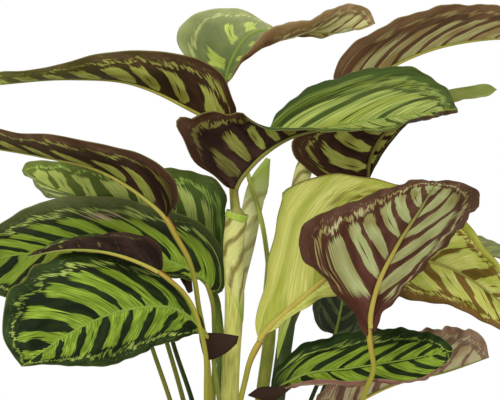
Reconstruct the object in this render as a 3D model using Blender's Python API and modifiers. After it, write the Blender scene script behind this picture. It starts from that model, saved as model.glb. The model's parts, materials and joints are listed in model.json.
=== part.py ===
"""Potted calathea: a clay pot, its soil, and a clump of patterned leaves on stalks.

Lengths are in millimetres and are scaled once to Blender's metres. +Z is up, the
origin is the middle of the pot's underside, and the plant is seen best from -Y.
"""
import math

import bpy
import numpy as np

MM = 0.001
GAP = 0.3                     # clearance between neighbouring solids
NECK_GAP = 0.5                # clearance between a stalk's end and its blade
FRONT = (0, -1, 0)
UP = (0, 0, 1)

POT_HEIGHT = 178
POT_BASE_RADIUS = 66
POT_BODY_RADIUS = 88          # outside, where the body meets the collar
POT_RIM_RADIUS = 97
COLLAR_HEIGHT = 36
WALL = 7
FLOOR = 11
LIP = 2                       # chamfer of the rim, the collar's lower edge and the base
COLLAR_TAPER = 2              # how much the collar narrows from rim to lower edge
DRAIN_HOLES = 4
DRAIN_RADIUS = 7
DRAIN_CIRCLE = 38
DRAIN_SIDES = 16
TURN_STEPS = 48

SOIL_TOP = 160
SOIL_EDGE_DROP = 4            # the soil sinks a little towards the wall
SOIL_EDGE_WIDTH = 22
POCKET_DEPTH = 14             # how far each stalk stands in the soil
POCKET_SIDES = 12             # as many as a stalk has
OVERCUT = 5                   # how far a cutter runs past what it cuts

BLADE_THICKNESS = 1.0
BLADE_ROWS = 11               # points along a midrib
BLADE_COLUMNS = 4             # points from the midrib to one margin
ROLLED_ROWS = 9
SPAN_STEPS = 24               # points worked out between two given points of a curve
NARROWEST = 0.03              # half-width at base and tip, as a share of the widest
FORWARD_SWEEP = 0.15          # how far the margin runs ahead of the midrib

STALK_STEP = 34               # length between two points of a stalk
STALK_NECK = 2.4              # radius where a stalk meets its blade
STALK_FOOT = 4.2              # radius at the soil
SLENDER = [(0, STALK_NECK), (0.5, STALK_NECK + 0.6), (1, STALK_FOOT)]   # share, radius


def half(width, angles, shape=(0.45, 0.8), curl=(0,), lobe=0.2):
    """One half of a blade.

    width is its widest half-width. angles turn it about the midrib from base to tip:
    0 lies flat beside the midrib, 90 points to the side it is seen from. shape holds
    the powers of the outline at the base and the tip, curl is the further turn from
    midrib to margin, and lobe draws the margin back past the stalk at the base.
    """
    return {"width": width, "angles": angles, "shape": shape, "curl": curl, "lobe": lobe}


# Each leaf: the midrib's points from base to tip, its left and right halves as seen from
# the front or from the side it is facing, the stalk's points from the blade down, and
# where the stalk is rooted.
LEAVES = {
    "left_high": {
        "rib": [(-35, 5, 618), (-77, -4, 646), (-131, -12, 668), (-196, -18, 672), (-288, -22, 664)],
        "left": half(60, (165, 140, 118, 104, 97), lobe=0.35),
        "right": half(60, (-50, -70, -75, -80, -80), lobe=0.35),
        "stalk": [(-24, 10, 584), (-20, 14, 540), (-20, 18, 429), (-23, 18, 318)],
        "root": (-14, 24),
    },
    "left_middle": {
        "rib": [(-89, -70, 521), (-116, -76, 546), (-157, -84, 571), (-219, -94, 586), (-306, -100, 599)],
        "left": half(56, (175, 135, 118, 120, 120), lobe=0.35),
        "right": half(56, (-50, -70, -75, -75, -80), lobe=0.35),
        "stalk": [(-82, -68, 500), (-68, -65, 478), (-60, -60, 456), (-54, -56, 428),
                  (-48, -52, 396), (-42, -42, 325)],
        "root": (-30, -20),
    },
    "centre": {
        "rib": [(-15, -45, 552), (2, -49, 577), (37, -50, 600), (107, -42, 615), (225, -25, 639)],
        "left": half(75, (-85, -62, -40, -37, -37), (0.7, 0.45)),
        "right": half(100, (195, 110, 91, 90, 90, 90), (0.35, 1.3), lobe=0),
        "stalk": [(-14, -42, 526), (-17, -38, 500), (-17, -28, 432), (-22, -16, 322)],
        "radii": [(0, 2.6), (0.05, 3.2), (0.08, 8.5), (0.2, 10.2), (0.6, 10.2), (1, 12)],
        "root": (-12, 0),
    },
    "centre_under": {
        "rib": [(135, 60, 558), (136, 58, 585), (148, 52, 611), (186, 44, 635), (277, 36, 660)],
        "left": half(70, (-100, -100, -95, -95, -100)),
        "right": half(86, (180, 183, 225, 250, 258), (0.35, 0.8)),
        "stalk": [(132, 62, 534), (108, 58, 495), (70, 50, 444), (46, 42, 394), (31, 34, 316)],
        "root": (22, 28),
    },
    "right_high": {
        "rib": [(120, 130, 660), (153, 132, 689), (206, 130, 715), (282, 120, 729), (373, 104, 722)],
        "left": half(60, (-50, -60, -60, -70, -70), (0.4, 0.7)),
        "right": half(62, (165, 138, 135, 132, 120), (0.4, 0.7), lobe=0.4),
        "stalk": [(88, 114, 622), (64, 88, 580), (54, 54, 540), (45, 22, 429), (30, 8, 319)],
        "radii": [(0, 2.6), (0.14, 3), (0.2, 5), (0.3, 8), (0.6, 9), (1, 9)],
        "root": (18, 2),
    },
    "right_pale": {
        "rib": [(11, -60, 390), (53, -72, 433), (115, -84, 479), (198, -95, 473), (293, -102, 409)],
        "left": half(82, (-97, -108, -124, -128, -120), lobe=0),
        "right": half(92, (125, 155, 175, 146, 132), (0.8, 1.3), lobe=0),
        "stalk": [(0, -58, 368), (-5, -54, 348), (-10, -50, 326)],
        "root": (-4, -34),
    },
    "front_right": {
        "rib": [(123, -110, 408), (129, -120, 446), (149, -150, 495), (178, -200, 534), (207, -246, 552)],
        "left": half(82, (92, 102, 115, 128, 150), (0.6, 0.32), lobe=0),
        "right": half(102, (110, 150, 150, 130, 120), (0.75, 1.1), lobe=0),
        "stalk": [(125, -108, 387), (128, -105, 365), (121, -100, 344), (117, -95, 331)],
        "root": (16, -38),
    },
    "front_left": {
        "rib": [(-48, -75, 400), (-73, -90, 424), (-123, -122, 428), (-176, -155, 409), (-226, -180, 375)],
        "left": half(47, (60, 25, 0, 10, 20), (0.7, 0.7)),
        "right": half(74, (-60, -40, -15, 0, 0), (0.9, 0.35), lobe=0),
        "stalk": [(-41, -72, 387), (-38, -66, 365), (-33, -56, 327)],
        "root": (-20, -30),
    },
    "front_maroon": {
        "rib": [(-92, -108, 468), (-113, -114, 478), (-149, -122, 488), (-189, -130, 489), (-227, -136, 482)],
        "left": half(34, (170, 140, 118, 108, 100), (0.3, 0.8)),
        "right": half(34, (-50, -60, -60, -60, -60), (0.3, 0.8)),
        "stalk": [(-85, -106, 458), (-72, -103, 449), (-58, -99, 431), (-49, -95, 410),
                  (-44, -90, 383), (-46, -78, 330)],
        "root": (-34, -36),
    },
    "left_low": {
        "rib": [(-65, -25, 462), (-108, -35, 480), (-171, -50, 487), (-239, -62, 483), (-311, -70, 469)],
        "left": half(60, (60, 40, 30, 20, 20)),
        "right": half(62, (-40, -30, -30, -30, -30), (0.5, 0.6)),
        "stalk": [(-58, -24, 441), (-54, -20, 398), (-50, -14, 321)],
        "root": (-38, -6),
    },
    "left_upper": {
        "rib": [(-40, 10, 439), (-66, 10, 483), (-110, 6, 527), (-180, -6, 549), (-246, -20, 577)],
        "left": half(60, (0, -20, -50, -75, -75)),
        "right": half(58, (-70, -28, -30, -52, -50), (0.6, 0.9)),
        "stalk": [(-39, 8, 398), (-37, 5, 320)],
        "root": (-32, 8),
    },
    "lower_right": {
        "rib": [(26, -45, 334), (54, -52, 352), (106, -62, 361), (164, -70, 371), (214, -76, 381)],
        "left": half(46, (-38, -38, -38, -40, -40), (0.6, 0.6)),
        "right": half(32, (85, 72, 66, 55, 35), (0.45, 0.6)),
        "stalk": [(13, -46, 317), (7, -45, 282)],
        "root": (4, -46),
    },
    "lower_under": {
        "rib": [(79, 0, 289), (110, 0, 313), (160, 0, 338), (215, 0, 351), (263, 0, 367)],
        "left": half(50, (-50, -60, -60, -60, -60), (0.5, 0.35)),
        "right": half(56, (165, 160, 160, 160, 160), (0.5, 0.35)),
        "stalk": [(55, -4, 262)],
        "root": (36, -14),
    },
    "back_small": {
        "rib": [(97, 70, 386), (105, 80, 419), (110, 94, 448), (114, 112, 475)],
        "left": half(34, (10,)),
        "right": half(34, (-10,)),
        "stalk": [(82, 58, 345), (58, 40, 287)],
        "root": (38, 14),
    },
    "right_back": {
        "rib": [(207, 84, 467), (253, 86, 476), (312, 92, 473), (376, 98, 447)],
        "facing": UP,
        "left": half(46, (40, 20, 5)),
        "right": half(46, (30, -10, -20)),
        "stalk": [(168, 96, 442), (126, 108, 407), (111, 106, 387), (94, 94, 344), (72, 70, 289)],
        "root": (42, 32),
    },
    "top": {
        "rib": [(-28, 35, 669), (-19, 32, 700), (0, 28, 725), (55, 24, 727), (100, 19, 726), (139, 15, 736)],
        "left": half(68, (8, -8, -82, -96, -97, -97), (0.4, 0.7)),
        "right": half(56, (10, 20, 45, 85, 130, 145), (0.4, 0.6), curl=(130, 130, 110, 45, 15, 0)),
        "stalk": [(-11, 38, 607), (2, 40, 557), (12, 40, 515), (22, 38, 470), (22, 34, 394),
                  (13, 28, 317)],
        "radii": [(0, 2.4), (0.45, 2.8), (0.6, 5), (1, 6)],
        "root": (5, 27),
    },
    "back_left_low": {
        "rib": [(-131, 15, 438), (-163, 35, 450), (-205, 60, 443), (-241, 80, 425)],
        "facing": UP,
        "left": half(36, (25, 5, -10)),
        "right": half(36, (25, 5, -10)),
        "stalk": [(-118, 8, 407), (-107, 2, 375), (-88, 0, 320)],
        "root": (-52, 2),
    },
    "back_left": {
        "rib": [(-114, 60, 492), (-126, 80, 523), (-158, 110, 540), (-196, 140, 534)],
        "facing": UP,
        "left": half(42, (40, 15, 0)),
        "right": half(42, (40, 15, 0)),
        "stalk": [(-111, 50, 461), (-105, 36, 417), (-92, 22, 379), (-74, 12, 319)],
        "root": (-46, 16),
    },
    "back_far": {
        "rib": [(-98, 95, 482), (-88, 130, 501), (-72, 170, 500), (-55, 205, 479)],
        "facing": UP,
        "left": half(46, (45, 15, 5)),
        "right": half(46, (45, 15, 5)),
        "stalk": [(-100, 80, 448), (-97, 60, 415), (-86, 42, 377), (-65, 28, 317)],
        "root": (-34, 30),
    },
    "back_right": {
        "rib": [(70, 122, 500), (84, 155, 526), (102, 190, 528), (116, 226, 504)],
        "facing": UP,
        "left": half(46, (40, 10, -5)),
        "right": half(46, (40, 10, -5)),
        "stalk": [(62, 104, 470), (49, 78, 426), (40, 60, 381), (30, 50, 315)],
        "root": (22, 44),
    },
}

# The young leaf is still rolled into a spindle, so it is one tube with a belly.
ROLLED_LEAF = {
    "path": [(-3, -10, 450), (2, -12, 496), (7, -14, 540), (13, -15, 567), (23, -15, 580)],
    "radii": [3.2, 11, 13, 8, 1.2],
    "stalk": [(-8, -6, 387), (-8, 2, 320)],
    "root": (-2, 17),
}

FINISHES = {
    "clay": ((0.53, 0.22, 0.12), 0.85),
    "soil": ((0.035, 0.022, 0.014), 0.95),
    "stalk": ((0.33, 0.36, 0.08), 0.5),
    "pale": ((0.45, 0.50, 0.14), 0.5),
    "green": ((0.05, 0.13, 0.03), 0.45),
    "maroon": ((0.10, 0.035, 0.02), 0.5),
}
PALE_LEAVES = ("right_pale",)
MAROON_LEAVES = ("left_high", "left_middle", "centre_under", "right_high", "front_right",
                 "front_maroon", "lower_under")


def clear_scene():
    for thing in list(bpy.data.objects):
        bpy.data.objects.remove(thing, do_unlink=True)


def new_collection(name):
    group = bpy.data.collections.new(name)
    bpy.context.scene.collection.children.link(group)
    return group


def finish(name, kind):
    """A Principled material of the sub-part's own."""
    colour, roughness = FINISHES[kind]
    material = bpy.data.materials.new(name + "_finish")
    material.use_nodes = True
    shader = material.node_tree.nodes["Principled BSDF"]
    shader.inputs["Base Color"].default_value = (*colour, 1)
    shader.inputs["Roughness"].default_value = roughness
    shader.inputs["Metallic"].default_value = 0
    return material


def add_object(name, data, group, kind=None):
    thing = bpy.data.objects.new(name, data)
    group.objects.link(thing)
    if kind:
        data.materials.append(finish(name, kind))
    return thing


def smooth_line(points, shares):
    """A Catmull-Rom curve through the points, read at these shares of its length."""
    p = np.array(points, float)
    p = np.vstack([2 * p[0] - p[1], p, 2 * p[-1] - p[-2]])
    u = np.linspace(0, 1, SPAN_STEPS, endpoint=False)[:, None]
    runs = []
    for a, b, c, d in zip(p[:-3], p[1:-2], p[2:-1], p[3:]):
        runs.append(0.5 * (2 * b + (c - a) * u + (2 * a - 5 * b + 4 * c - d) * u ** 2
                           + (3 * b - 3 * c + d - a) * u ** 3))
    line = np.vstack(runs + [p[-2:-1]])
    length = np.concatenate([[0], np.cumsum(np.linalg.norm(np.diff(line, axis=0), axis=1))])
    return np.column_stack([np.interp(shares * length[-1], length, line[:, k]) for k in range(3)])


def line_length(points):
    line = smooth_line(points, np.linspace(0, 1, SPAN_STEPS * len(points)))
    return float(np.linalg.norm(np.diff(line, axis=0), axis=1).sum())


def row_shares():
    """Rows from base to tip, closer together at both ends where the outline turns."""
    return (1 - np.cos(np.linspace(0, math.pi, BLADE_ROWS))) / 2


def directions(line, facing=FRONT):
    """Along the midrib, to the side it is seen from and to its left, at each point."""
    along = np.gradient(line, axis=0)
    along /= np.linalg.norm(along, axis=1)[:, None]
    seen_from = np.array(facing, float)
    ahead = seen_from - (along @ seen_from)[:, None] * along
    ahead /= np.linalg.norm(ahead, axis=1)[:, None]
    return along, ahead, np.cross(ahead, along)


def spread(values, s):
    """Values given at even steps from base to tip, read smoothly at each s."""
    v = np.array(values, float)
    if len(v) == 1:
        return np.full_like(s, v[0])
    v = np.concatenate([[2 * v[0] - v[1]], v, [2 * v[-1] - v[-2]]])
    x = s * (len(v) - 3)
    i = np.minimum(x.astype(int), len(v) - 4)
    u = x - i
    a, b, c, d = v[i], v[i + 1], v[i + 2], v[i + 3]
    return 0.5 * (2 * b + (c - a) * u + (2 * a - 5 * b + 4 * c - d) * u ** 2
                  + (3 * b - 3 * c + d - a) * u ** 3)


def outline(s, shape):
    """Half-width from base to tip as a share of the widest: s^a (1-s)^b, scaled to 1."""
    a, b = shape
    peak = a / (a + b)
    return (s / peak) ** a * ((1 - s) / (1 - peak)) ** b


def blade_half(rib, part, side, facing):
    """Points from the midrib to one margin: an arc of the half's width at each row."""
    s = row_shares()
    line = smooth_line(rib, s)
    along, ahead, left = directions(line, facing)
    t = np.linspace(0, 1, BLADE_COLUMNS)[None, :]
    width = part["width"] * np.maximum(outline(s, part["shape"]), NARROWEST)[:, None]
    start = np.radians(spread(part["angles"], s))[:, None]
    turn = np.radians(spread(part["curl"], s))[:, None] * t / 2
    chord = width * t * np.sinc(turn / math.pi)
    shift = FORWARD_SWEEP * s[:, None] - part["lobe"] * (1 - s[:, None]) ** 4
    shift[0] = 0
    return (line[:, None, :]
            + (side * chord * np.cos(start + turn))[..., None] * left[:, None, :]
            + (chord * np.sin(start + turn))[..., None] * ahead[:, None, :]
            + (shift * width * t ** 1.5)[..., None] * along[:, None, :])


def blade_mesh(name, leaf):
    """Both halves joined along the midrib as one open sheet."""
    facing = leaf.get("facing", FRONT)
    left = blade_half(leaf["rib"], leaf["left"], 1, facing)
    right = blade_half(leaf["rib"], leaf["right"], -1, facing)
    sheet = np.concatenate([left[:, :0:-1], right], axis=1) * MM
    rows, columns = sheet.shape[:2]
    corner = (np.arange(rows - 1)[:, None] * columns + np.arange(columns - 1)).ravel()
    faces = np.stack([corner, corner + 1, corner + columns + 1, corner + columns], axis=1)
    mesh = bpy.data.meshes.new(name)
    mesh.from_pydata(sheet.reshape(-1, 3).tolist(), [], faces.tolist())
    mesh.shade_smooth()
    return mesh


def add_blade(name, leaf, kind, group):
    blade = add_object(name, blade_mesh(name, leaf), group, kind)
    wall = blade.modifiers.new("thickness", "SOLIDIFY")
    wall.thickness = BLADE_THICKNESS * MM
    wall.offset = 0
    return blade


def add_tube(name, points, radii, kind, group):
    """A curve with filled caps, with a radius at each point."""
    curve = bpy.data.curves.new(name, "CURVE")
    curve.dimensions = "3D"
    curve.bevel_depth = MM
    curve.bevel_resolution = 2
    curve.use_fill_caps = True
    spline = curve.splines.new("POLY")
    spline.points.add(len(points) - 1)
    for knot, place, radius in zip(spline.points, points, radii):
        knot.co = (*(place * MM), 1)
        knot.radius = radius
    return add_object(name, curve, group, kind)


def upright_foot(root):
    """The last two points of a stalk, one above the other, the lower in its pocket."""
    x, y = root
    return [(x, y, SOIL_TOP + STALK_FOOT), (x, y, SOIL_TOP - POCKET_DEPTH + GAP)]


def add_stalk(name, top, direction, points, root, radii, kind, group):
    """A stalk from just under a blade's base down into its pocket in the soil."""
    end = np.array(top, float) - np.array(direction) * NECK_GAP
    neck = end - np.array(direction) * STALK_NECK * 3
    upright, foot = upright_foot(root)
    route = [tuple(neck), *points, upright]
    count = max(6, round(line_length(route) / STALK_STEP))
    shares = np.union1d(np.linspace(0, 1, count), [share for share, radius in radii])
    sizes = np.interp(shares, *zip(*radii))
    line = np.vstack([end, smooth_line(route, shares), foot])
    sizes = np.concatenate([sizes[:1], sizes, sizes[-1:]])
    return add_tube(name, line, sizes, kind, group)


def turned(name, profile, kind, group):
    """A profile turned about Z, running down its outer side."""
    mesh = bpy.data.meshes.new(name)
    edges = [(i, i + 1) for i in range(len(profile) - 1)]
    mesh.from_pydata([(r * MM, 0, z * MM) for r, z in profile], edges, [])
    thing = add_object(name, mesh, group, kind)
    screw = thing.modifiers.new("turn", "SCREW")
    screw.axis = "Z"
    screw.steps = screw.render_steps = TURN_STEPS
    screw.use_merge_vertices = True
    screw.merge_threshold = 0.0001
    screw.use_smooth_shade = True
    return thing


def pot_body_radius(z):
    """Outside radius of the body below the collar."""
    share = z / (POT_HEIGHT - COLLAR_HEIGHT)
    return POT_BASE_RADIUS + (POT_BODY_RADIUS - POT_BASE_RADIUS) * share


def pot_inside_radius(z):
    """Inside radius of the pot, straight from its floor to the chamfer of its rim."""
    narrow = pot_body_radius(FLOOR) - WALL
    wide = POT_RIM_RADIUS - WALL
    share = min((z - FLOOR) / (POT_HEIGHT - LIP - FLOOR), 1)
    return narrow + (wide - narrow) * share


def cutter(name, radius, low, high, place, sides, group):
    bpy.ops.mesh.primitive_cylinder_add(vertices=sides, radius=radius * MM, depth=(high - low) * MM)
    tool = bpy.context.object
    tool.name = name
    tool.location = (place[0] * MM, place[1] * MM, (low + high) / 2 * MM)
    for owner in list(tool.users_collection):
        owner.objects.unlink(tool)
    group.objects.link(tool)
    tool.hide_render = True
    tool.display_type = "WIRE"
    return tool


def cut(thing, tool):
    hole = thing.modifiers.new(tool.name, "BOOLEAN")
    hole.operation = "DIFFERENCE"
    hole.solver = "EXACT"
    hole.object = tool


def add_pot(group, cutters):
    collar = POT_HEIGHT - COLLAR_HEIGHT
    profile = [
        (0, FLOOR),
        (pot_inside_radius(FLOOR), FLOOR),
        (pot_inside_radius(POT_HEIGHT), POT_HEIGHT - LIP),
        (pot_inside_radius(POT_HEIGHT) + LIP, POT_HEIGHT),
        (POT_RIM_RADIUS - LIP, POT_HEIGHT),
        (POT_RIM_RADIUS, POT_HEIGHT - LIP),
        (POT_RIM_RADIUS - COLLAR_TAPER, collar + LIP),
        (POT_RIM_RADIUS - COLLAR_TAPER - LIP, collar),
        (POT_BODY_RADIUS, collar),
        (POT_BASE_RADIUS, LIP),
        (POT_BASE_RADIUS - LIP, 0),
        (0, 0),
    ]
    pot = turned("pot", profile, "clay", group)
    for i in range(DRAIN_HOLES):
        turn = 2 * math.pi * i / DRAIN_HOLES
        place = (DRAIN_CIRCLE * math.cos(turn), DRAIN_CIRCLE * math.sin(turn))
        cut(pot, cutter(f"drain_{i}", DRAIN_RADIUS, -OVERCUT, FLOOR + OVERCUT, place,
                        DRAIN_SIDES, cutters))
    return pot


def add_soil(group, cutters, feet):
    low = FLOOR + GAP
    edge = SOIL_TOP - SOIL_EDGE_DROP
    profile = [
        (0, SOIL_TOP),
        (pot_inside_radius(SOIL_TOP) - SOIL_EDGE_WIDTH, SOIL_TOP),
        (pot_inside_radius(edge) - GAP, edge),
        (pot_inside_radius(low) - GAP, low),
        (0, low),
    ]
    soil = turned("soil", profile, "soil", group)
    for name, (root, radius) in feet.items():
        pocket = (radius + GAP) / math.cos(math.pi / POCKET_SIDES)
        cut(soil, cutter("pocket_" + name, pocket, SOIL_TOP - POCKET_DEPTH, SOIL_TOP + OVERCUT,
                         root, POCKET_SIDES, cutters))
    return soil


def main():
    clear_scene()
    group = new_collection("potted_calathea")
    cutters = new_collection("cutters")
    plant = add_object("plant", None, group)
    pieces = []
    feet = {}
    for name, leaf in LEAVES.items():
        kind = "pale" if name in PALE_LEAVES else "maroon" if name in MAROON_LEAVES else "green"
        along, ahead, left = directions(smooth_line(leaf["rib"], row_shares()))
        radii = leaf.get("radii", SLENDER)
        pieces.append(add_blade("leaf_" + name, leaf, kind, group))
        pieces.append(add_stalk("stalk_" + name, leaf["rib"][0], along[0], leaf["stalk"],
                                leaf["root"], radii, "stalk", group))
        feet[name] = (leaf["root"], radii[-1][1])

    path = ROLLED_LEAF["path"]
    shares = np.linspace(0, 1, ROLLED_ROWS)
    line = smooth_line(path, shares)
    sizes = spread(ROLLED_LEAF["radii"], shares)
    pieces.append(add_tube("leaf_rolled", line, sizes, "pale", group))
    along = (line[1] - line[0]) / np.linalg.norm(line[1] - line[0])
    pieces.append(add_stalk("stalk_rolled", path[0], along, ROLLED_LEAF["stalk"],
                            ROLLED_LEAF["root"], SLENDER, "stalk", group))
    feet["rolled"] = (ROLLED_LEAF["root"], STALK_FOOT)

    pieces.append(add_soil(group, cutters, feet))
    pieces.append(add_pot(group, cutters))
    for piece in pieces:
        piece.parent = plant


main()
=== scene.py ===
import json
import math

import bpy
import numpy as np
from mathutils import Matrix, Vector


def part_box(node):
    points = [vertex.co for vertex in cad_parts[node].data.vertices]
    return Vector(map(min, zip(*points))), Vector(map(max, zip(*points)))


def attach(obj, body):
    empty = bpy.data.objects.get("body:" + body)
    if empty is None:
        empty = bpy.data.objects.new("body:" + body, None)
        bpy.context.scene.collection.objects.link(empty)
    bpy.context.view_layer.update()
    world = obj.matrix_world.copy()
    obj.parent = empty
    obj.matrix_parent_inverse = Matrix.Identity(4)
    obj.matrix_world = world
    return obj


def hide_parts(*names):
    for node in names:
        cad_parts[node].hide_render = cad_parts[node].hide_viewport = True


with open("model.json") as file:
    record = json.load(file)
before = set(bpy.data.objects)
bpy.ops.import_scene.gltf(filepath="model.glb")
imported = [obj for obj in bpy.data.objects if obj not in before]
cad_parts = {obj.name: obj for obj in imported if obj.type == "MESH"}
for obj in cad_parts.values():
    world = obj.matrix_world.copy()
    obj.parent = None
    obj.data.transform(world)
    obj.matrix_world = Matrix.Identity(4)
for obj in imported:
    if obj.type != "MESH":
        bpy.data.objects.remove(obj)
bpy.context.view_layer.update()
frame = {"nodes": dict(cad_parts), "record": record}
mm = 0.001
front = (0, -1, 0)
up = (0, 0, 1)
frameSlot = {row["node"]: row["material_slot"] for row in frame["record"]["subparts"]}
print("frame loaded:", len(frame["nodes"]), "nodes")


def linear(code):
    # "#rrggbb" in sRGB to the linear colour that a shader takes
    raw = np.array([int(code[i:i + 2], 16) / 255 for i in (1, 3, 5)])
    value = np.where(raw <= 0.04045, raw / 12.92, ((raw + 0.055) / 1.055) ** 2.4)
    return (*(float(v) for v in value), 1.0)


def nodeAdder(tree):
    def fill(node, inputs):
        # inputs by name or number, or in their order (a MapRange: the value, the range it
        # comes from and the one it goes to); each takes a socket, a "#rrggbb" or a number
        for key, value in inputs.items() if isinstance(inputs, dict) else enumerate(inputs):
            if isinstance(value, bpy.types.NodeSocket):
                tree.links.new(value, node.inputs[key])
            else:
                node.inputs[key].default_value = linear(value) if isinstance(value, str) else value

    def add(kind, inputs=None, out=0, **settings):
        # adds a node and returns its output, or a list of them where out is a tuple
        node = tree.nodes.new("ShaderNode" + kind)
        for key, value in settings.items():
            setattr(node, key, value)
        fill(node, inputs or {})
        return [node.outputs[key] for key in out] if isinstance(out, tuple) else node.outputs[out]

    return add, fill


def newMaterial(name):
    # returns the function that adds a node and the one that sets the shader and ends the material
    material = bpy.data.materials.new(name)
    material.use_nodes = True
    add, fill = nodeAdder(material.node_tree)

    def wear(inputs):
        fill(material.node_tree.nodes["Principled BSDF"], inputs)
        return material

    return add, wear


def newObject(name, data):
    item = bpy.data.objects.new(name, data)
    bpy.context.scene.collection.objects.link(item)
    return item


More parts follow.
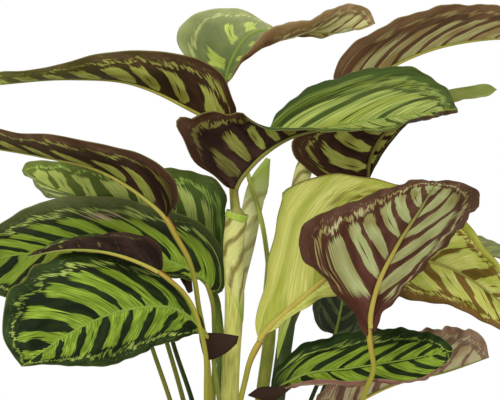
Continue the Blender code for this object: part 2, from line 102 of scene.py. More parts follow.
# What the leaf faces look like. "ground" and "deep" are the dark between the blotches,
# "blotch" and "pale" the light feathers beside the midrib, "feather" the ragged line outside
# them, "margin" the band along the edge and "rim" the edge itself. "paleAndSheen" is a pale
# haze, partly the leaf's own paler parts and partly painted sheen, that settles by "hazeShare",
# and between the blotches by "onDark" of that; "shade" dims the face here and there. "widths"
# are a blotch's half-widths by the midrib, further out and at its end, as shares of one band.
# As shares of the half-blade's width, "start" and "reach" are where a blotch begins and ends,
# "line" is where the feather line runs, "ragged" how broken it is, and "edgeAt" where the
# margin's band begins and is full. As shares of the blade's length, "bare" is how far from the
# base the blotches begin, "easing" how slowly, and "bars" where the dark bars do. A look lists
# only what differs from the common one.
commonLook = {
    "hazeShare": 1.0, "start": 0.0, "bars": 0.0, "bare": 0.0, "edgeAt": (0.74, 0.9), "easing": 0.05,
    "ragged": 0.15, "line": 0.735, "onDark": 1.0, "gloss": 0.14, "roughness": 0.5,
}
leafLooks = {
    "upper": {
        "ground": "#243012", "deep": "#19220c", "blotch": "#6f8723", "pale": "#98ad3c",
        "feather": "#a0b058", "margin": "#2f3f17", "rim": "#6b6a32", "paleAndSheen": "#a4a668",
        "shade": "#c2c8a8", "widths": (0.43, 0.29, 0.36), "start": -0.02, "reach": 0.63,
    },
    "brightUpper": {
        "ground": "#222f10", "deep": "#18210b", "blotch": "#5f7a1e", "pale": "#a2b940",
        "feather": "#9aab50", "margin": "#2e3f17", "rim": "#6f6c31", "paleAndSheen": "#a4a668",
        "shade": "#b4bc98", "widths": (0.43, 0.27, 0.31), "start": -0.02, "reach": 0.64,
    },
    "paleTip": {
        "ground": "#344c18", "deep": "#293c12", "blotch": "#c6d666", "pale": "#e6ec98",
        "feather": "#a9c85c", "margin": "#33441a", "rim": "#6b5a32", "paleAndSheen": "#c3d468",
        "shade": "#dadfc0", "widths": (0.38, 0.28, 0.4), "start": -0.02, "reach": 0.62,
        "bare": 0.08, "easing": 0.6, "onDark": 0.5,
    },
    "darkEdged": {
        "ground": "#25330f", "deep": "#1a260c", "blotch": "#678020", "pale": "#a3b840",
        "feather": "#9db052", "margin": "#273a14", "rim": "#5f6230", "paleAndSheen": "#a4a668",
        "shade": "#bcc49c", "widths": (0.4, 0.34, 0.28), "start": 0.02, "reach": 0.52,
        "bare": 0.08, "easing": 0.15, "edgeAt": (0.62, 0.8), "line": 0.63,
    },
    "softUpper": {
        "ground": "#45531e", "deep": "#36471a", "blotch": "#71843a", "pale": "#bcc46a",
        "feather": "#7f8f42", "margin": "#3a4f18", "rim": "#8a8c5c", "paleAndSheen": "#a2a178",
        "shade": "#c4c89c", "widths": (0.47, 0.42, 0.28), "reach": 0.4, "bare": 0.05,
        "edgeAt": (0.52, 0.76), "line": 0.55, "ragged": 0.3, "onDark": 0.8, "gloss": 0.03,
    },
    "silverUpper": {
        "ground": "#5f7230", "deep": "#4c6324", "blotch": "#9db03c", "pale": "#b9ca50",
        "feather": "#b4bc74", "margin": "#6c7d36", "rim": "#8c8e5c", "paleAndSheen": "#cbc796",
        "shade": "#dadcc2", "widths": (0.24, 0.22, 0.22), "start": 0.1, "reach": 0.46,
        "bare": 0.05, "edgeAt": (0.66, 0.86),
    },
    "deepUpper": {
        "ground": "#222a18", "deep": "#181f11", "blotch": "#535f36", "pale": "#6d7650",
        "feather": "#6d7650", "margin": "#28341c", "rim": "#4f4b30", "paleAndSheen": "#7f876a",
        "shade": "#b4bc98", "widths": (0.2, 0.22, 0.26), "start": 0.04, "reach": 0.58,
    },
    "maroon": {
        "ground": "#3b251a", "deep": "#2c1b13", "blotch": "#868b3a", "pale": "#a0a450",
        "feather": "#85853e", "margin": "#503424", "rim": "#6b6530", "paleAndSheen": "#99984f",
        "shade": "#b8a890", "hazeShare": 0.5, "widths": (0.14, 0.3, 0.2), "start": 0.05, "reach": 0.5,
        "bare": 0.04, "easing": 0.2, "roughness": 0.6,
    },
    "litMaroon": {
        "ground": "#4a2e1f", "deep": "#38231a", "blotch": "#b0b450", "pale": "#c6c868",
        "feather": "#a4a34e", "margin": "#523626", "rim": "#77703a", "paleAndSheen": "#838a45",
        "shade": "#bcb096", "hazeShare": 0.5, "widths": (0.16, 0.32, 0.3), "start": 0.04, "reach": 0.6,
        "bare": 0.02, "edgeAt": (0.72, 0.88), "roughness": 0.6,
    },
    "plum": {
        "ground": "#33211a", "deep": "#271812", "blotch": "#60592e", "pale": "#6d6838",
        "feather": "#544a2b", "margin": "#38261c", "rim": "#55442a", "paleAndSheen": "#7d7648",
        "shade": "#b8a890", "hazeShare": 0.3, "widths": (-0.04, 0.09, 0.04), "start": 0.15,
        "reach": 0.44, "bare": 0.3, "roughness": 0.6,
    },
    "rust": {
        "ground": "#5f3a2d", "deep": "#502e22", "blotch": "#a1a66c", "pale": "#b4bb84",
        "feather": "#b3ae7a", "margin": "#58382b", "rim": "#54422c", "paleAndSheen": "#aaab78",
        "shade": "#c9b8a0", "hazeShare": 0.5, "widths": (0.16, 0.33, 0.38), "start": 0.03,
        "reach": 0.62, "bare": 0.2, "roughness": 0.6,
    },
    "rosy": {
        "ground": "#6d472f", "deep": "#543422", "blotch": "#aba66a", "pale": "#bfba80",
        "feather": "#a69c64", "margin": "#775538", "rim": "#86744c", "paleAndSheen": "#b4aa7a",
        "shade": "#cdb09c", "hazeShare": 0.6, "widths": (0.43, 0.35, 0.32), "reach": 0.56,
        "bare": 0.06, "roughness": 0.6,
    },
    "pink": {
        "ground": "#80584a", "deep": "#654038", "blotch": "#aea77b", "pale": "#c3bd90",
        "feather": "#b0a47c", "margin": "#8a6455", "rim": "#94865c", "paleAndSheen": "#b8b088",
        "shade": "#d0b4a6", "hazeShare": 0.6, "widths": (0.4, 0.34, 0.34), "reach": 0.58, "bare": 0.06,
        "roughness": 0.6,
    },
    "silk": {
        "ground": "#93734f", "deep": "#6b4a2e", "blotch": "#cccc86", "pale": "#d8d69e",
        "feather": "#bcb37a", "margin": "#93744e", "rim": "#94835a", "paleAndSheen": "#c8c090",
        "shade": "#d6c8ae", "hazeShare": 0.1, "widths": (0.44, 0.36, 0.36), "reach": 0.6, "bare": 0.35,
        "roughness": 0.6,
    },
    # the pale young leaf's yellow-green: partly its own colour and partly a painted glow of light
    # shining through it
    "lime": {
        "ground": "#82662e", "deep": "#725824", "blotch": "#b6b653", "pale": "#d2d180",
        "feather": "#c6c56c", "margin": "#aaab4a", "rim": "#86743a", "paleAndSheen": "#d0d08c",
        "shade": "#cad296", "hazeShare": 0.5, "widths": (0.38, 0.38, 0.44), "start": -0.02,
        "reach": 0.66, "bars": 0.42, "roughness": 0.54,
    },
}
# the same with a brown margin
leafLooks["limeEdged"] = {
    **leafLooks["lime"], "ground": "#7a5c28", "feather": "#b9b85e", "margin": "#74552a",
    "rim": "#5e4524", "edgeAt": (0.72, 0.84),
}


skinFigures = {
    # fibres, clumps, streaks and broad drifts: each noise's number to a band and to a
    # half-width, its layer, detail and roughness
    "noises": [(17.0, 3.4, 0, 2.0, 0.6), (2.3, 5.0, 0, 1.0, 0.5), (9.0, 9.0, 4.0, 1.0, 0.5),
               (0.9, 2.2, 9.0, 1.0, 0.5)],
    # how softly an outline ends on either side of it
    "edges": {"band": (-0.02, 0.02), "reach": (-0.015, 0.02), "start": (0.0, 0.02),
              "sliver": (-0.01, 0.01), "line": (-0.008, 0.012)},
    # where a noise or a place begins to show, and where it shows in full
    "shows": {"ground": (0.35, 0.65), "pale": (0.70, 1.02), "shade": (0.42, 0.62),
              "torn": (0.99, 1.02), "rim": (0.975, 0.995), "strokes": (0.42, 0.52),
              "gaps": (0.56, 0.46), "clear": (0.1, 0.2), "roughness": (0.3, 0.7)},
    # what chance, fibres and clumps add to a width; fibres, clumps and the band's middle to the
    # reach; clumps and the middle to the line; what is taken off each, as no noise averages 0
    "widthGains": (-0.12, 0.10, 0.16), "widthLess": 0.09,
    "reachGains": (0.26, 0.14, -0.16), "reachLess": 0.16,
    "lineGains": (0.16, 0.13), "lineLess": 0.08, "lineThin": 0.034,
    "centre": (0.22, 0.39),           # how far a band's middle strays, from where
    "widthAt": (0.24, 0.26, 0.60),    # the second width is reached, the third begins and ends
    "sliver": (0.5, -0.40, 0.30),     # its place across a band, and where it is widest
    "taper": (0.02, 0.20, 0.03, -0.012),    # from its middle to its ends, its half-width
    "fray": (0.08, 0.04),             # how far fibres shift the start, and half of that
    # the last pair: how fibres break up the pale haze, which is in part painted sheen
    "clumped": 0.3, "paleDrift": 0.7, "tornFibre": 0.9, "hazeFibre": (0.6, 0.7),
    # a fainter line: how far out, how frayed, from where to where it thins, and how strong
    "further": (0.105, 0.10, 0.060, 0.045, 0.35), "dried": "#b3a07c",
    "veinHeight": 0.0008, "veinRelief": 0.25,        # metres, as every height in the materials
    "roughGain": (-0.05, 0.08),
}


def leafFace(name, look):
    # living leaf skin, dull with a faint wax: UV "bands" holds the band's number across and
    # the share of the half-width, so that every line of the pattern runs along the side veins
    fig, look = skinFigures, {**commonLook, **look}
    edges, shows = fig["edges"], fig["shows"]
    add, wear = newMaterial(name)
    band, away = add("SeparateXYZ", (add("UVMap", uv_map="bands"),), (0, 1))
    place, paleAndSheen, scar = (add("Attribute", out="Fac", attribute_name=key)
                          for key in ("alongBlade", "paleAndSheen", "scar"))
    noises = []               # drawn out along the veins
    for perBand, perWidth, layer, detail, rough in fig["noises"]:
        at = add("CombineXYZ", (add("Math", (band, perBand), operation="MULTIPLY"),
                                add("Math", (away, perWidth), operation="MULTIPLY"), layer))
        noises.append(add("TexNoise", {"Vector": at, "Scale": 1.0, "Detail": detail,
                                       "Roughness": rough},
                          noise_dimensions="3D" if layer else "2D"))
    fibre, clump, streak, broad = noises

    # how far the point is from the middle of its band, which is drawn a little off centre
    part = add("Math", (band,), operation="FRACT")
    number = add("Math", (band,), operation="FLOOR")
    chance = add("TexWhiteNoise", {"W": number}, "Value", noise_dimensions="1D")
    centre = add("Math", (chance, *fig["centre"]), operation="MULTIPLY_ADD")
    aside = add("Math", (part, centre), operation="SUBTRACT")
    middle = add("Math", (aside,), operation="ABSOLUTE")
    inner, outer, last = look["widths"]
    second, third, full = fig["widthAt"]
    width = add("MapRange", (away, 0.0, second, inner, outer), interpolation_type="SMOOTHSTEP")
    wider = add("MapRange", (away, third, full, 0.0, last - outer),
                interpolation_type="SMOOTHSTEP")
    width = add("Math", (width, wider), operation="ADD")
    for noise, gain in zip((chance, fibre, clump), fig["widthGains"]):
        width = add("Math", (noise, gain, width), operation="MULTIPLY_ADD")
    width = add("Math", (width, fig["widthLess"]), operation="SUBTRACT")
    inside = add("Math", (width, middle), operation="SUBTRACT")
    inBand = add("MapRange", (inside, *edges["band"]))

    # blotches end in a ragged line, a little further out in the middle of a band
    reach = look["reach"] - fig["reachLess"]
    for noise, gain in zip((fibre, clump, middle), fig["reachGains"]):
        reach = add("Math", (noise, gain, reach), operation="MULTIPLY_ADD")
    left = add("Math", (reach, away), operation="SUBTRACT")
    inReach = add("MapRange", (left, *edges["reach"]))
    started = add("Math", (fibre, fig["fray"][0], look["start"] - fig["fray"][1]),
                  operation="MULTIPLY_ADD")
    started = add("Math", (away, started), operation="SUBTRACT")
    begun = add("MapRange", (started, *edges["start"]))

    # a thin dark sliver splits some bands
    spanned, offset, widest = fig["sliver"]
    gap = add("Math", (chance, spanned, offset), operation="MULTIPLY_ADD")
    gap = add("Math", (aside, gap), operation="SUBTRACT")
    gap = add("Math", (gap,), operation="ABSOLUTE")
    taper = add("Math", (away, widest), operation="SUBTRACT")
    taper = add("Math", (taper,), operation="ABSOLUTE")
    taper = add("MapRange", (taper, *fig["taper"]))
    sliver = add("Math", (taper, gap), operation="SUBTRACT")
    sliver = add("MapRange", (sliver, *edges["sliver"]))
    picked = add("Math", (chance, 0.5), operation="GREATER_THAN")
    sliver = add("Math", (sliver, picked), operation="MULTIPLY")
    whole = add("Math", (1.0, sliver), operation="SUBTRACT")

    light = inBand
    for share in (inReach, whole, begun):
        light = add("Math", (light, share), operation="MULTIPLY")
    if look["bars"]:          # the dark bars are missing near the base
        clear = add("Math", (clump, fig["clumped"], place), operation="MULTIPLY_ADD")
        begins, ends = shows["clear"]
        clear = add("MapRange", (clear, look["bars"] + begins, look["bars"] + ends, 1.0, 0.0))
        light = add("Math", (light, clear), operation="MAXIMUM")
    bare = add("Math", (fibre, fig["fray"][0], place), operation="MULTIPLY_ADD")
    bare = add("MapRange", (bare, look["bare"], look["bare"] + look["easing"]))
    light = add("Math", (light, bare), operation="MULTIPLY")

    # the feather line wanders about three quarters out and breaks up into short strokes
    wander = look["line"] - fig["lineLess"]
    for noise, gain in zip((clump, middle), fig["lineGains"]):
        wander = add("Math", (noise, gain, wander), operation="MULTIPLY_ADD")
    off = add("Math", (away, wander), operation="SUBTRACT")
    near = add("Math", (off,), operation="ABSOLUTE")
    thick = add("Math", (fibre, look["ragged"], -fig["lineThin"]), operation="MULTIPLY_ADD")
    near = add("Math", (thick, near), operation="SUBTRACT")
    near = add("MapRange", (near, *edges["line"]))
    broken = add("MapRange", (streak, *shows["strokes"]))
    near = add("Math", (near, broken), operation="MULTIPLY")
    # and a fainter one follows it further out
    further, frayed, thin, full, strength = fig["further"]
    far = add("Math", (off, further), operation="SUBTRACT")
    far = add("Math", (far,), operation="ABSOLUTE")
    far = add("Math", (fibre, frayed, far), operation="MULTIPLY_ADD")
    far = add("MapRange", (far, thin, full, 0.0, strength))
    gapped = add("MapRange", (streak, *shows["gaps"]))
    far = add("Math", (far, gapped), operation="MULTIPLY")
    feather = add("Math", (near, far), operation="MAXIMUM")
    feather = add("Math", (feather, bare), operation="MULTIPLY")

    # where each colour shows, and then the colours from the ground up, each over the last
    grounded = add("MapRange", (clump, *shows["ground"]))
    edged = add("MapRange", (away, *look["edgeAt"]))
    paled = add("Math", (broad, fig["paleDrift"], fibre), operation="MULTIPLY_ADD")
    paled = add("MapRange", (paled, *shows["pale"]))
    blotch = add("Mix", {0: paled, 6: look["blotch"], 7: look["pale"]}, 2, data_type="RGBA")
    shaded = add("MapRange", (broad, *shows["shade"]))
    torn = add("Math", (fibre, fig["tornFibre"], scar), operation="MULTIPLY_ADD")
    torn = add("MapRange", (torn, *shows["torn"]))
    rimmed = add("MapRange", (away, *shows["rim"]))
    # the pale haze, in part painted sheen and in part the leaf's own paler parts: fibres break it
    # up, and it is thinner between the blotches
    hazed = add("Math", (fibre, *(look["hazeShare"] * gain for gain in fig["hazeFibre"])),
                operation="MULTIPLY_ADD")
    hazed = add("Math", (paleAndSheen, hazed), operation="MULTIPLY")
    taken = add("MapRange", (light, 0.0, 1.0, look["onDark"], 1.0))
    hazed = add("Math", (hazed, taken), operation="MULTIPLY", use_clamp=True)
    colour = look["deep"]
    for share, tone, blend in (
            (grounded, look["ground"], "MIX"), (edged, look["margin"], "MIX"),
            (light, blotch, "MIX"), (feather, look["feather"], "MIX"),
            (shaded, look["shade"], "MULTIPLY"), (torn, fig["dried"], "MIX"),
            (rimmed, look["rim"], "MIX"), (hazed, look["paleAndSheen"], "MIX")):
        colour = add("Mix", {0: share, 6: colour, 7: tone}, 2, data_type="RGBA", blend_type=blend)

    # side veins as fine ridges, about 1.5 mm apart
    relief = add("Math", (light, fig["veinRelief"], fibre), operation="MULTIPLY_ADD")
    bump = add("Bump", {"Strength": 0.5, "Distance": fig["veinHeight"], "Height": relief})
    rough = (look["roughness"] + gain for gain in fig["roughGain"])
    rough = add("MapRange", (fibre, *shows["roughness"], *rough))
    return wear({"Base Color": colour, "Roughness": rough, "Normal": bump, "IOR": 1.4,
                 "Specular IOR Level": look["gloss"]})


faces = {name: leafFace("leaf skin, " + name, look) for name, look in leafLooks.items()}
print("leaf faces ready")

# a stalk's colours: two that drift into each other, the one under the blade, the one at the
# soil and a red line below the blade
stemLooks = {
    "olive": {"main": "#86852c", "other": "#687226", "tint": "#96903a", "foot": "#6c782a"},
    "amber": {"main": "#9a9330", "other": "#8a862b", "tint": "#ac993e", "foot": "#7f842c",
              "blush": "#8c3f1c"},
    "leafy": {"main": "#869b3c", "other": "#5f772c", "tint": "#5c6c2a", "foot": "#8c9e40"},
    "green": {"main": "#4a5b24", "other": "#35441c", "tint": "#73802f", "foot": "#37451f"},
    "pale": {"main": "#d6d473", "other": "#a8aa48", "tint": "#6c6526", "foot": "#c8ca64"},
    "fresh": {"main": "#a6bd48", "other": "#8aa436", "tint": "#b8cc60", "foot": "#a0b644"},
    "sheath": {"main": "#c6ca5a", "other": "#9aa546", "tint": "#84853a", "foot": "#aab04a"},
}


stemFigures = {
    "lines": (26.0, 5.0), "drift": 22.0,      # round it and to 10 cm along it, and to a metre
    # from where to where each other tone comes in, and its strength at both, if not 0 and 1
    "other": (0.8, 1.25), "foot": (0.45, 1.0), "tint": (0.0, 0.16, 1.0, 0.0),
    "blush": (0.10, 0.24, 0.9, 0.0),
}


def stemSkin(name, look):
    # living stalk skin, smooth and a little waxy: fine lines along it and a slow drift of
    # tone; attribute "down" runs from 0 under the blade to 1 at the soil
    add, wear = newMaterial(name)
    down = add("Attribute", out="Fac", attribute_name="down")
    around, along = add("SeparateXYZ", (add("UVMap", uv_map="skin"),), (0, 1))
    fig = stemFigures
    lineAt = add("CombineXYZ", (add("Math", (around, fig["lines"][0]), operation="MULTIPLY"),
                                add("Math", (along, fig["lines"][1]), operation="MULTIPLY")))
    lines = add("TexNoise", {"Vector": lineAt, "Scale": 1.0, "Detail": 3.0}, noise_dimensions="2D")
    drift = add("TexNoise", {"Vector": add("TexCoord", out="Object"), "Scale": fig["drift"],
                             "Detail": 2.0})
    tone = add("Math", (lines, drift), operation="ADD")
    toned = add("MapRange", (tone, *fig["other"]))
    footed = add("MapRange", (down, *fig["foot"]))
    tinted = add("MapRange", (down, *fig["tint"]))
    layers = [(toned, "other"), (footed, "foot"), (tinted, "tint")]
    if "blush" in look:       # a red line down the side away from the blade
        sided = add("MapRange", (around, *fig["blush"]))
        sided = add("Math", (sided, tinted), operation="MULTIPLY")
        layers.append((sided, "blush"))
    colour = look["main"]
    for share, key in layers:
        colour = add("Mix", {0: share, 6: colour, 7: look[key]}, 2, data_type="RGBA")
    bump = add("Bump", {"Strength": 0.35, "Distance": 0.0005, "Height": lines})
    return wear({"Base Color": colour, "Roughness": 0.45, "Normal": bump, "IOR": 1.4,
                 "Specular IOR Level": 0.3})


ribLook = {"above": ("#71882f", "#8fa443"), "tip": "#7f8242", "drift": 60.0, "tipShows": (0.3, 0.9)}


def ribSkin(name, dull, bright):
    # the midrib's skin, firm and a little waxy: ochre below the blade, duller towards its tip,
    # and green where it shows as a line on top
    add, wear = newMaterial(name)
    above = add("Attribute", out="Fac", attribute_name="above")
    down = add("Attribute", out="Fac", attribute_name="down")
    drift = add("TexNoise", {"Vector": add("TexCoord", out="Object"), "Scale": ribLook["drift"],
                             "Detail": 2.0})
    under = add("Mix", {0: drift, 6: dull, 7: bright}, 2, data_type="RGBA")
    upper = add("Mix", {0: drift, 6: ribLook["above"][0], 7: ribLook["above"][1]}, 2,
                data_type="RGBA")
    tip = add("MapRange", (down, *ribLook["tipShows"]))
    colour = add("Mix", {0: tip, 6: under, 7: ribLook["tip"]}, 2, data_type="RGBA")
    colour = add("Mix", {0: above, 6: colour, 7: upper}, 2, data_type="RGBA")
    bump = add("Bump", {"Strength": 0.3, "Distance": 0.0005, "Height": drift})
    return wear({"Base Color": colour, "Roughness": 0.5, "Normal": bump, "IOR": 1.4,
                 "Specular IOR Level": 0.2})


mixFigures = {"finer": 3, "flecks": (0.58, 0.7), "roughness": 0.92, "relief": 0.0015}


def pottingMix(name, dark, mid, light, grain):
    # peat and bark, milled and pressed: dull crumbs of several browns, grain millimetres wide
    add, wear = newMaterial(name)
    where = add("TexCoord", out="Object")
    crumbs = add("TexVoronoi", {"Vector": where, "Scale": 1 / (grain * mm)}, "Color")
    hue = add("SeparateXYZ", (crumbs,))
    fine = add("TexNoise", {"Vector": where, "Scale": mixFigures["finer"] / (grain * mm),
                            "Detail": 4.0})
    flecks = add("MapRange", (fine, *mixFigures["flecks"]))
    colour = add("Mix", {0: hue, 6: dark, 7: mid}, 2, data_type="RGBA")
    colour = add("Mix", {0: flecks, 6: colour, 7: light}, 2, data_type="RGBA")
    bump = add("Bump", {"Strength": 0.8, "Distance": mixFigures["relief"], "Height": fine})
    return wear({"Base Color": colour, "Roughness": mixFigures["roughness"], "Normal": bump})


clayLook = {
    "body": "#a8603f", "warm": "#b97350", "rings": "#93502f", "lime": "#d3b39c",
    "ringsPerMetre": 420.0, "ringWobble": 0.003, "wobble": 14.0, "grit": 900.0,
    # from where to where each colour comes in, and its strength at both, if not 0 and 1
    "shows": {"warm": (0.35, 0.65), "rings": (0.3, 0.7, 0.0, 0.35), "lime": (0.27, 0.4, 0.0, 0.45)},
    "ringRelief": 0.7, "relief": 0.0008,
}


def firedClay():
    # unglazed earthenware, thrown and fired: warm and dull, with turning lines about 2 mm
    # apart, fine grit and a bloom of lime
    add, wear = newMaterial("terracotta, thrown and fired")
    where = add("TexCoord", out="Object")
    high = add("SeparateXYZ", (where,), 2)
    wobble = add("TexNoise", {"Vector": where, "Scale": clayLook["wobble"], "Detail": 3.0})
    grit = add("TexNoise", {"Vector": where, "Scale": clayLook["grit"], "Detail": 2.0})
    ringAt = add("Math", (wobble, clayLook["ringWobble"], high), operation="MULTIPLY_ADD")
    ringAt = add("Math", (ringAt, clayLook["ringsPerMetre"]), operation="MULTIPLY")
    rings = add("TexNoise", {"W": ringAt, "Scale": 1.0, "Detail": 2.0}, noise_dimensions="1D")
    limed = add("Math", (wobble, grit), operation="MULTIPLY")
    colour = clayLook["body"]
    for noise, key in ((wobble, "warm"), (rings, "rings"), (limed, "lime")):
        share = add("MapRange", (noise, *clayLook["shows"][key]))
        colour = add("Mix", {0: share, 6: colour, 7: clayLook[key]}, 2, data_type="RGBA")
    relief = add("Math", (rings, clayLook["ringRelief"], grit), operation="MULTIPLY_ADD")
    bump = add("Bump", {"Strength": 0.4, "Distance": clayLook["relief"], "Height": relief})
    return wear({"Base Color": colour, "Roughness": 0.85, "Normal": bump, "IOR": 1.5})


perliteLook = {"pores": "#b9b4a8", "foam": "#ece8df", "poresPerMetre": 1200.0}


def perliteSkin():
    # perlite, popped in a furnace: white, dull and a little grey in its pores
    add, wear = newMaterial("perlite, popped")
    pores = add("TexNoise", {"Vector": add("TexCoord", out="Object"),
                             "Scale": perliteLook["poresPerMetre"], "Detail": 2.0})
    colour = add("Mix", {0: pores, 6: perliteLook["pores"], 7: perliteLook["foam"]}, 2,
                 data_type="RGBA")
    bump = add("Bump", {"Strength": 0.6, "Distance": 0.0005, "Height": pores})
    return wear({"Base Color": colour, "Roughness": 0.9, "Normal": bump})


# body, light lines and brown bands, how strong the bands are, and the tip
youngLooks = {
    "rolled": {"body": "#d4d878", "light": "#f2f2b8", "brown": "#8f7a34", "strength": 0.6,
               "tip": "#a3b944"},
    "wrapped round a stalk": {"body": "#aeae4c", "light": "#e6e59c", "brown": "#7a6628",
                              "strength": 0.9, "tip": "#a3b944"},
}


youngPattern = {
    "slant": -0.8, "drift": 5.0, "bands": 21.0, "wander": 3.0, "lines": (60.0, 6.0), "fray": 0.9,
    "brown": (0.55, 1.45), "tip": (0.72, 0.92), "tipStrength": 0.9,
}


def youngSkin(name, look):
    # a leaf still rolled up: pale and thin, with its brown bands showing through aslant and
    # its tip turning green
    add, wear = newMaterial(name)
    about = add("UVMap", uv_map="skin")
    around, along = add("SeparateXYZ", (about,), (0, 1))
    fig = youngPattern
    slant = add("Math", (around, fig["slant"], along), operation="MULTIPLY_ADD")
    drift = add("TexNoise", {"Vector": about, "Scale": fig["drift"], "Detail": 2.0},
                noise_dimensions="2D")
    turn = add("Math", (slant, fig["bands"]), operation="MULTIPLY")
    turn = add("Math", (drift, fig["wander"], turn), operation="MULTIPLY_ADD")
    bands = add("Math", (turn,), operation="SINE")
    lineAt = add("CombineXYZ", (add("Math", (slant, fig["lines"][0]), operation="MULTIPLY"),
                                add("Math", (around, fig["lines"][1]), operation="MULTIPLY")))
    lines = add("TexNoise", {"Vector": lineAt, "Scale": 1.0, "Detail": 2.0}, noise_dimensions="2D")
    browned = add("Math", (lines, fig["fray"], bands), operation="MULTIPLY_ADD")
    browned = add("MapRange", (browned, *fig["brown"], 0.0, look["strength"]))
    down = add("Attribute", out="Fac", attribute_name="down")
    greened = add("MapRange", (down, *fig["tip"], 0.0, fig["tipStrength"]))
    colour = look["body"]
    for share, key in ((lines, "light"), (browned, "brown"), (greened, "tip")):
        colour = add("Mix", {0: share, 6: colour, 7: look[key]}, 2, data_type="RGBA")
    bump = add("Bump", {"Strength": 0.4, "Distance": 0.0005, "Height": lines})
    return wear({"Base Color": colour, "Roughness": 0.45, "Normal": bump, "IOR": 1.4,
                 "Specular IOR Level": 0.3})


stemSkins = {name: stemSkin("stalk skin, " + name, look) for name, look in stemLooks.items()}
ribFinishes = {
    "ochre": ribSkin("midrib skin, ochre", "#a8963c", "#bcae54"),
    # painted shade: the ochre midrib painted darker, for the midribs of shaded leaves
    "shadowed": ribSkin("midrib skin, dusky olive", "#72682e", "#8c8440"),
}
soilFinish = pottingMix("peat and bark, milled", "#1f150f", "#3a281b", "#5a4430", 2.2)
barkFinish = pottingMix("pine bark, chipped", "#4a3020", "#6e4a31", "#8a6748", 6.0)
clayFinish = firedClay()
perliteFinish = perliteSkin()
youngFinish, wrapFinish = (youngSkin("young leaf skin, " + name, look)
                           for name, look in youngLooks.items())
print("stalk, young leaf, soil and clay finishes ready")


def smoothLine(points, shares, before=None, steps=24):
    # a smooth curve through the points, read at these shares of its length: between two points
    # a cubic, whose slope at each is the mean of the slopes on both sides, the nearer one
    # weighing more; before is the point that it comes from, where it carries on another curve
    p = np.array(points, float)
    first = 2 * p[0] - p[1] if before is None else np.array(before, float)
    p = np.vstack([first, p, 2 * p[-1] - p[-2]])
    step = np.maximum(np.linalg.norm(np.diff(p, axis=0), axis=1), 1e-9)[:, None]
    rate = np.diff(p, axis=0) / step
    slope = (rate[:-1] * step[1:] + rate[1:] * step[:-1]) / (step[1:] + step[:-1])
    a, b = p[1:-2, None], p[2:-1, None]
    leaving, arriving = (slope[:-1] * step[1:-1])[:, None], (slope[1:] * step[1:-1])[:, None]
    u = np.linspace(0, 1, steps, endpoint=False)[None, :, None]
    runs = (a * (2 * u ** 3 - 3 * u ** 2 + 1) + leaving * (u ** 3 - 2 * u ** 2 + u)
            + b * (3 * u ** 2 - 2 * u ** 3) + arriving * (u ** 3 - u ** 2))
    line = np.vstack([runs.reshape(-1, 3), p[-2:-1]])
    length = distances(line)
    return np.column_stack([np.interp(shares * length[-1], length, line[:, k]) for k in range(3)])


def distances(line):
    # how far along the line each of its points is
    return np.concatenate([[0], np.cumsum(np.linalg.norm(np.diff(line, axis=0), axis=1))])


def directions(line, facing=front):
    # along the line, to the side it is seen from and to its left, at each point
    along = np.gradient(line, axis=0)
    along /= np.linalg.norm(along, axis=1)[:, None]
    seenFrom = np.array(facing, float)
    ahead = seenFrom - (along @ seenFrom)[:, None] * along
    ahead /= np.linalg.norm(ahead, axis=1)[:, None]
    return along, ahead, np.cross(ahead, along)


def spread(values, s):
    # values given at even steps from base to tip, read smoothly at each s
    v = np.array(values, float)
    if len(v) == 1:
        return np.full_like(s, v[0])
    v = np.concatenate([[2 * v[0] - v[1]], v, [2 * v[-1] - v[-2]]])
    x = s * (len(v) - 3)
    i = np.minimum(x.astype(int), len(v) - 4)
    u = x - i
    a, b, c, d = v[i], v[i + 1], v[i + 2], v[i + 3]
    return 0.5 * (2 * b + (c - a) * u + (2 * a - 5 * b + 4 * c - d) * u ** 2
                  + (3 * b - 3 * c + d - a) * u ** 3)


def gridFaces(rows, columns, closed=False):
    # four-sided faces of a grid, row by row; closed joins the last column to the first
    row, column = np.meshgrid(np.arange(rows - 1), np.arange(columns if closed else columns - 1),
                              indexing="ij")
    after = (column + 1) % columns
    return np.stack([row * columns + column, row * columns + after,
                     (row + 1) * columns + after, (row + 1) * columns + column],
                    axis=-1).reshape(-1, 4)


def tubeFaces(rows, sides, inward=False):
    # a grid closed round, with a fan over each end to a point of its own, after the grid's;
    # inward turns every face over
    column = np.arange(sides)
    after = (column + 1) % sides
    last = (rows - 1) * sides
    walls = gridFaces(rows, sides, closed=True)
    start = np.stack([np.full(sides, rows * sides), after, column], axis=1)
    end = np.stack([np.full(sides, rows * sides + 1), last + column, last + after], axis=1)
    if inward:
        return [walls[:, ::-1], start[:, [0, 2, 1]], end[:, [0, 2, 1]]]
    return [walls, start, end]


def newPiece(name, points, faceList, materials, slot, replaces=None):
    # points in millimetres; faceList holds arrays of faces with equal numbers of corners
    mesh = bpy.data.meshes.new(name)
    corners = np.concatenate([f.ravel() for f in faceList]).astype(np.int32)
    sizes = np.concatenate([np.full(len(f), f.shape[1]) for f in faceList])
    mesh.vertices.add(len(points))
    mesh.vertices.foreach_set("co", (points * mm).astype(np.float32).ravel())
    mesh.loops.add(len(corners))
    mesh.loops.foreach_set("vertex_index", corners)
    mesh.polygons.add(len(sizes))
    mesh.polygons.foreach_set("loop_start", (np.cumsum(sizes) - sizes).astype(np.int32))
    mesh.update(calc_edges=True)
    mesh.shade_smooth()
    for material in materials:
        mesh.materials.append(material)
    piece = newObject(name, mesh)
    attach(piece, "root")
    if replaces:
        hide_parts(replaces)
    return piece


def addUv(piece, name, u, v):
    layer = piece.data.uv_layers.new(name=name)
    layer.data.foreach_set("uv", np.column_stack([u, v]).astype(np.float32).ravel())


def addValue(piece, name, values):
    attribute = piece.data.attributes.new(name, "FLOAT", "POINT")
    attribute.data.foreach_set("value", values.astype(np.float32))


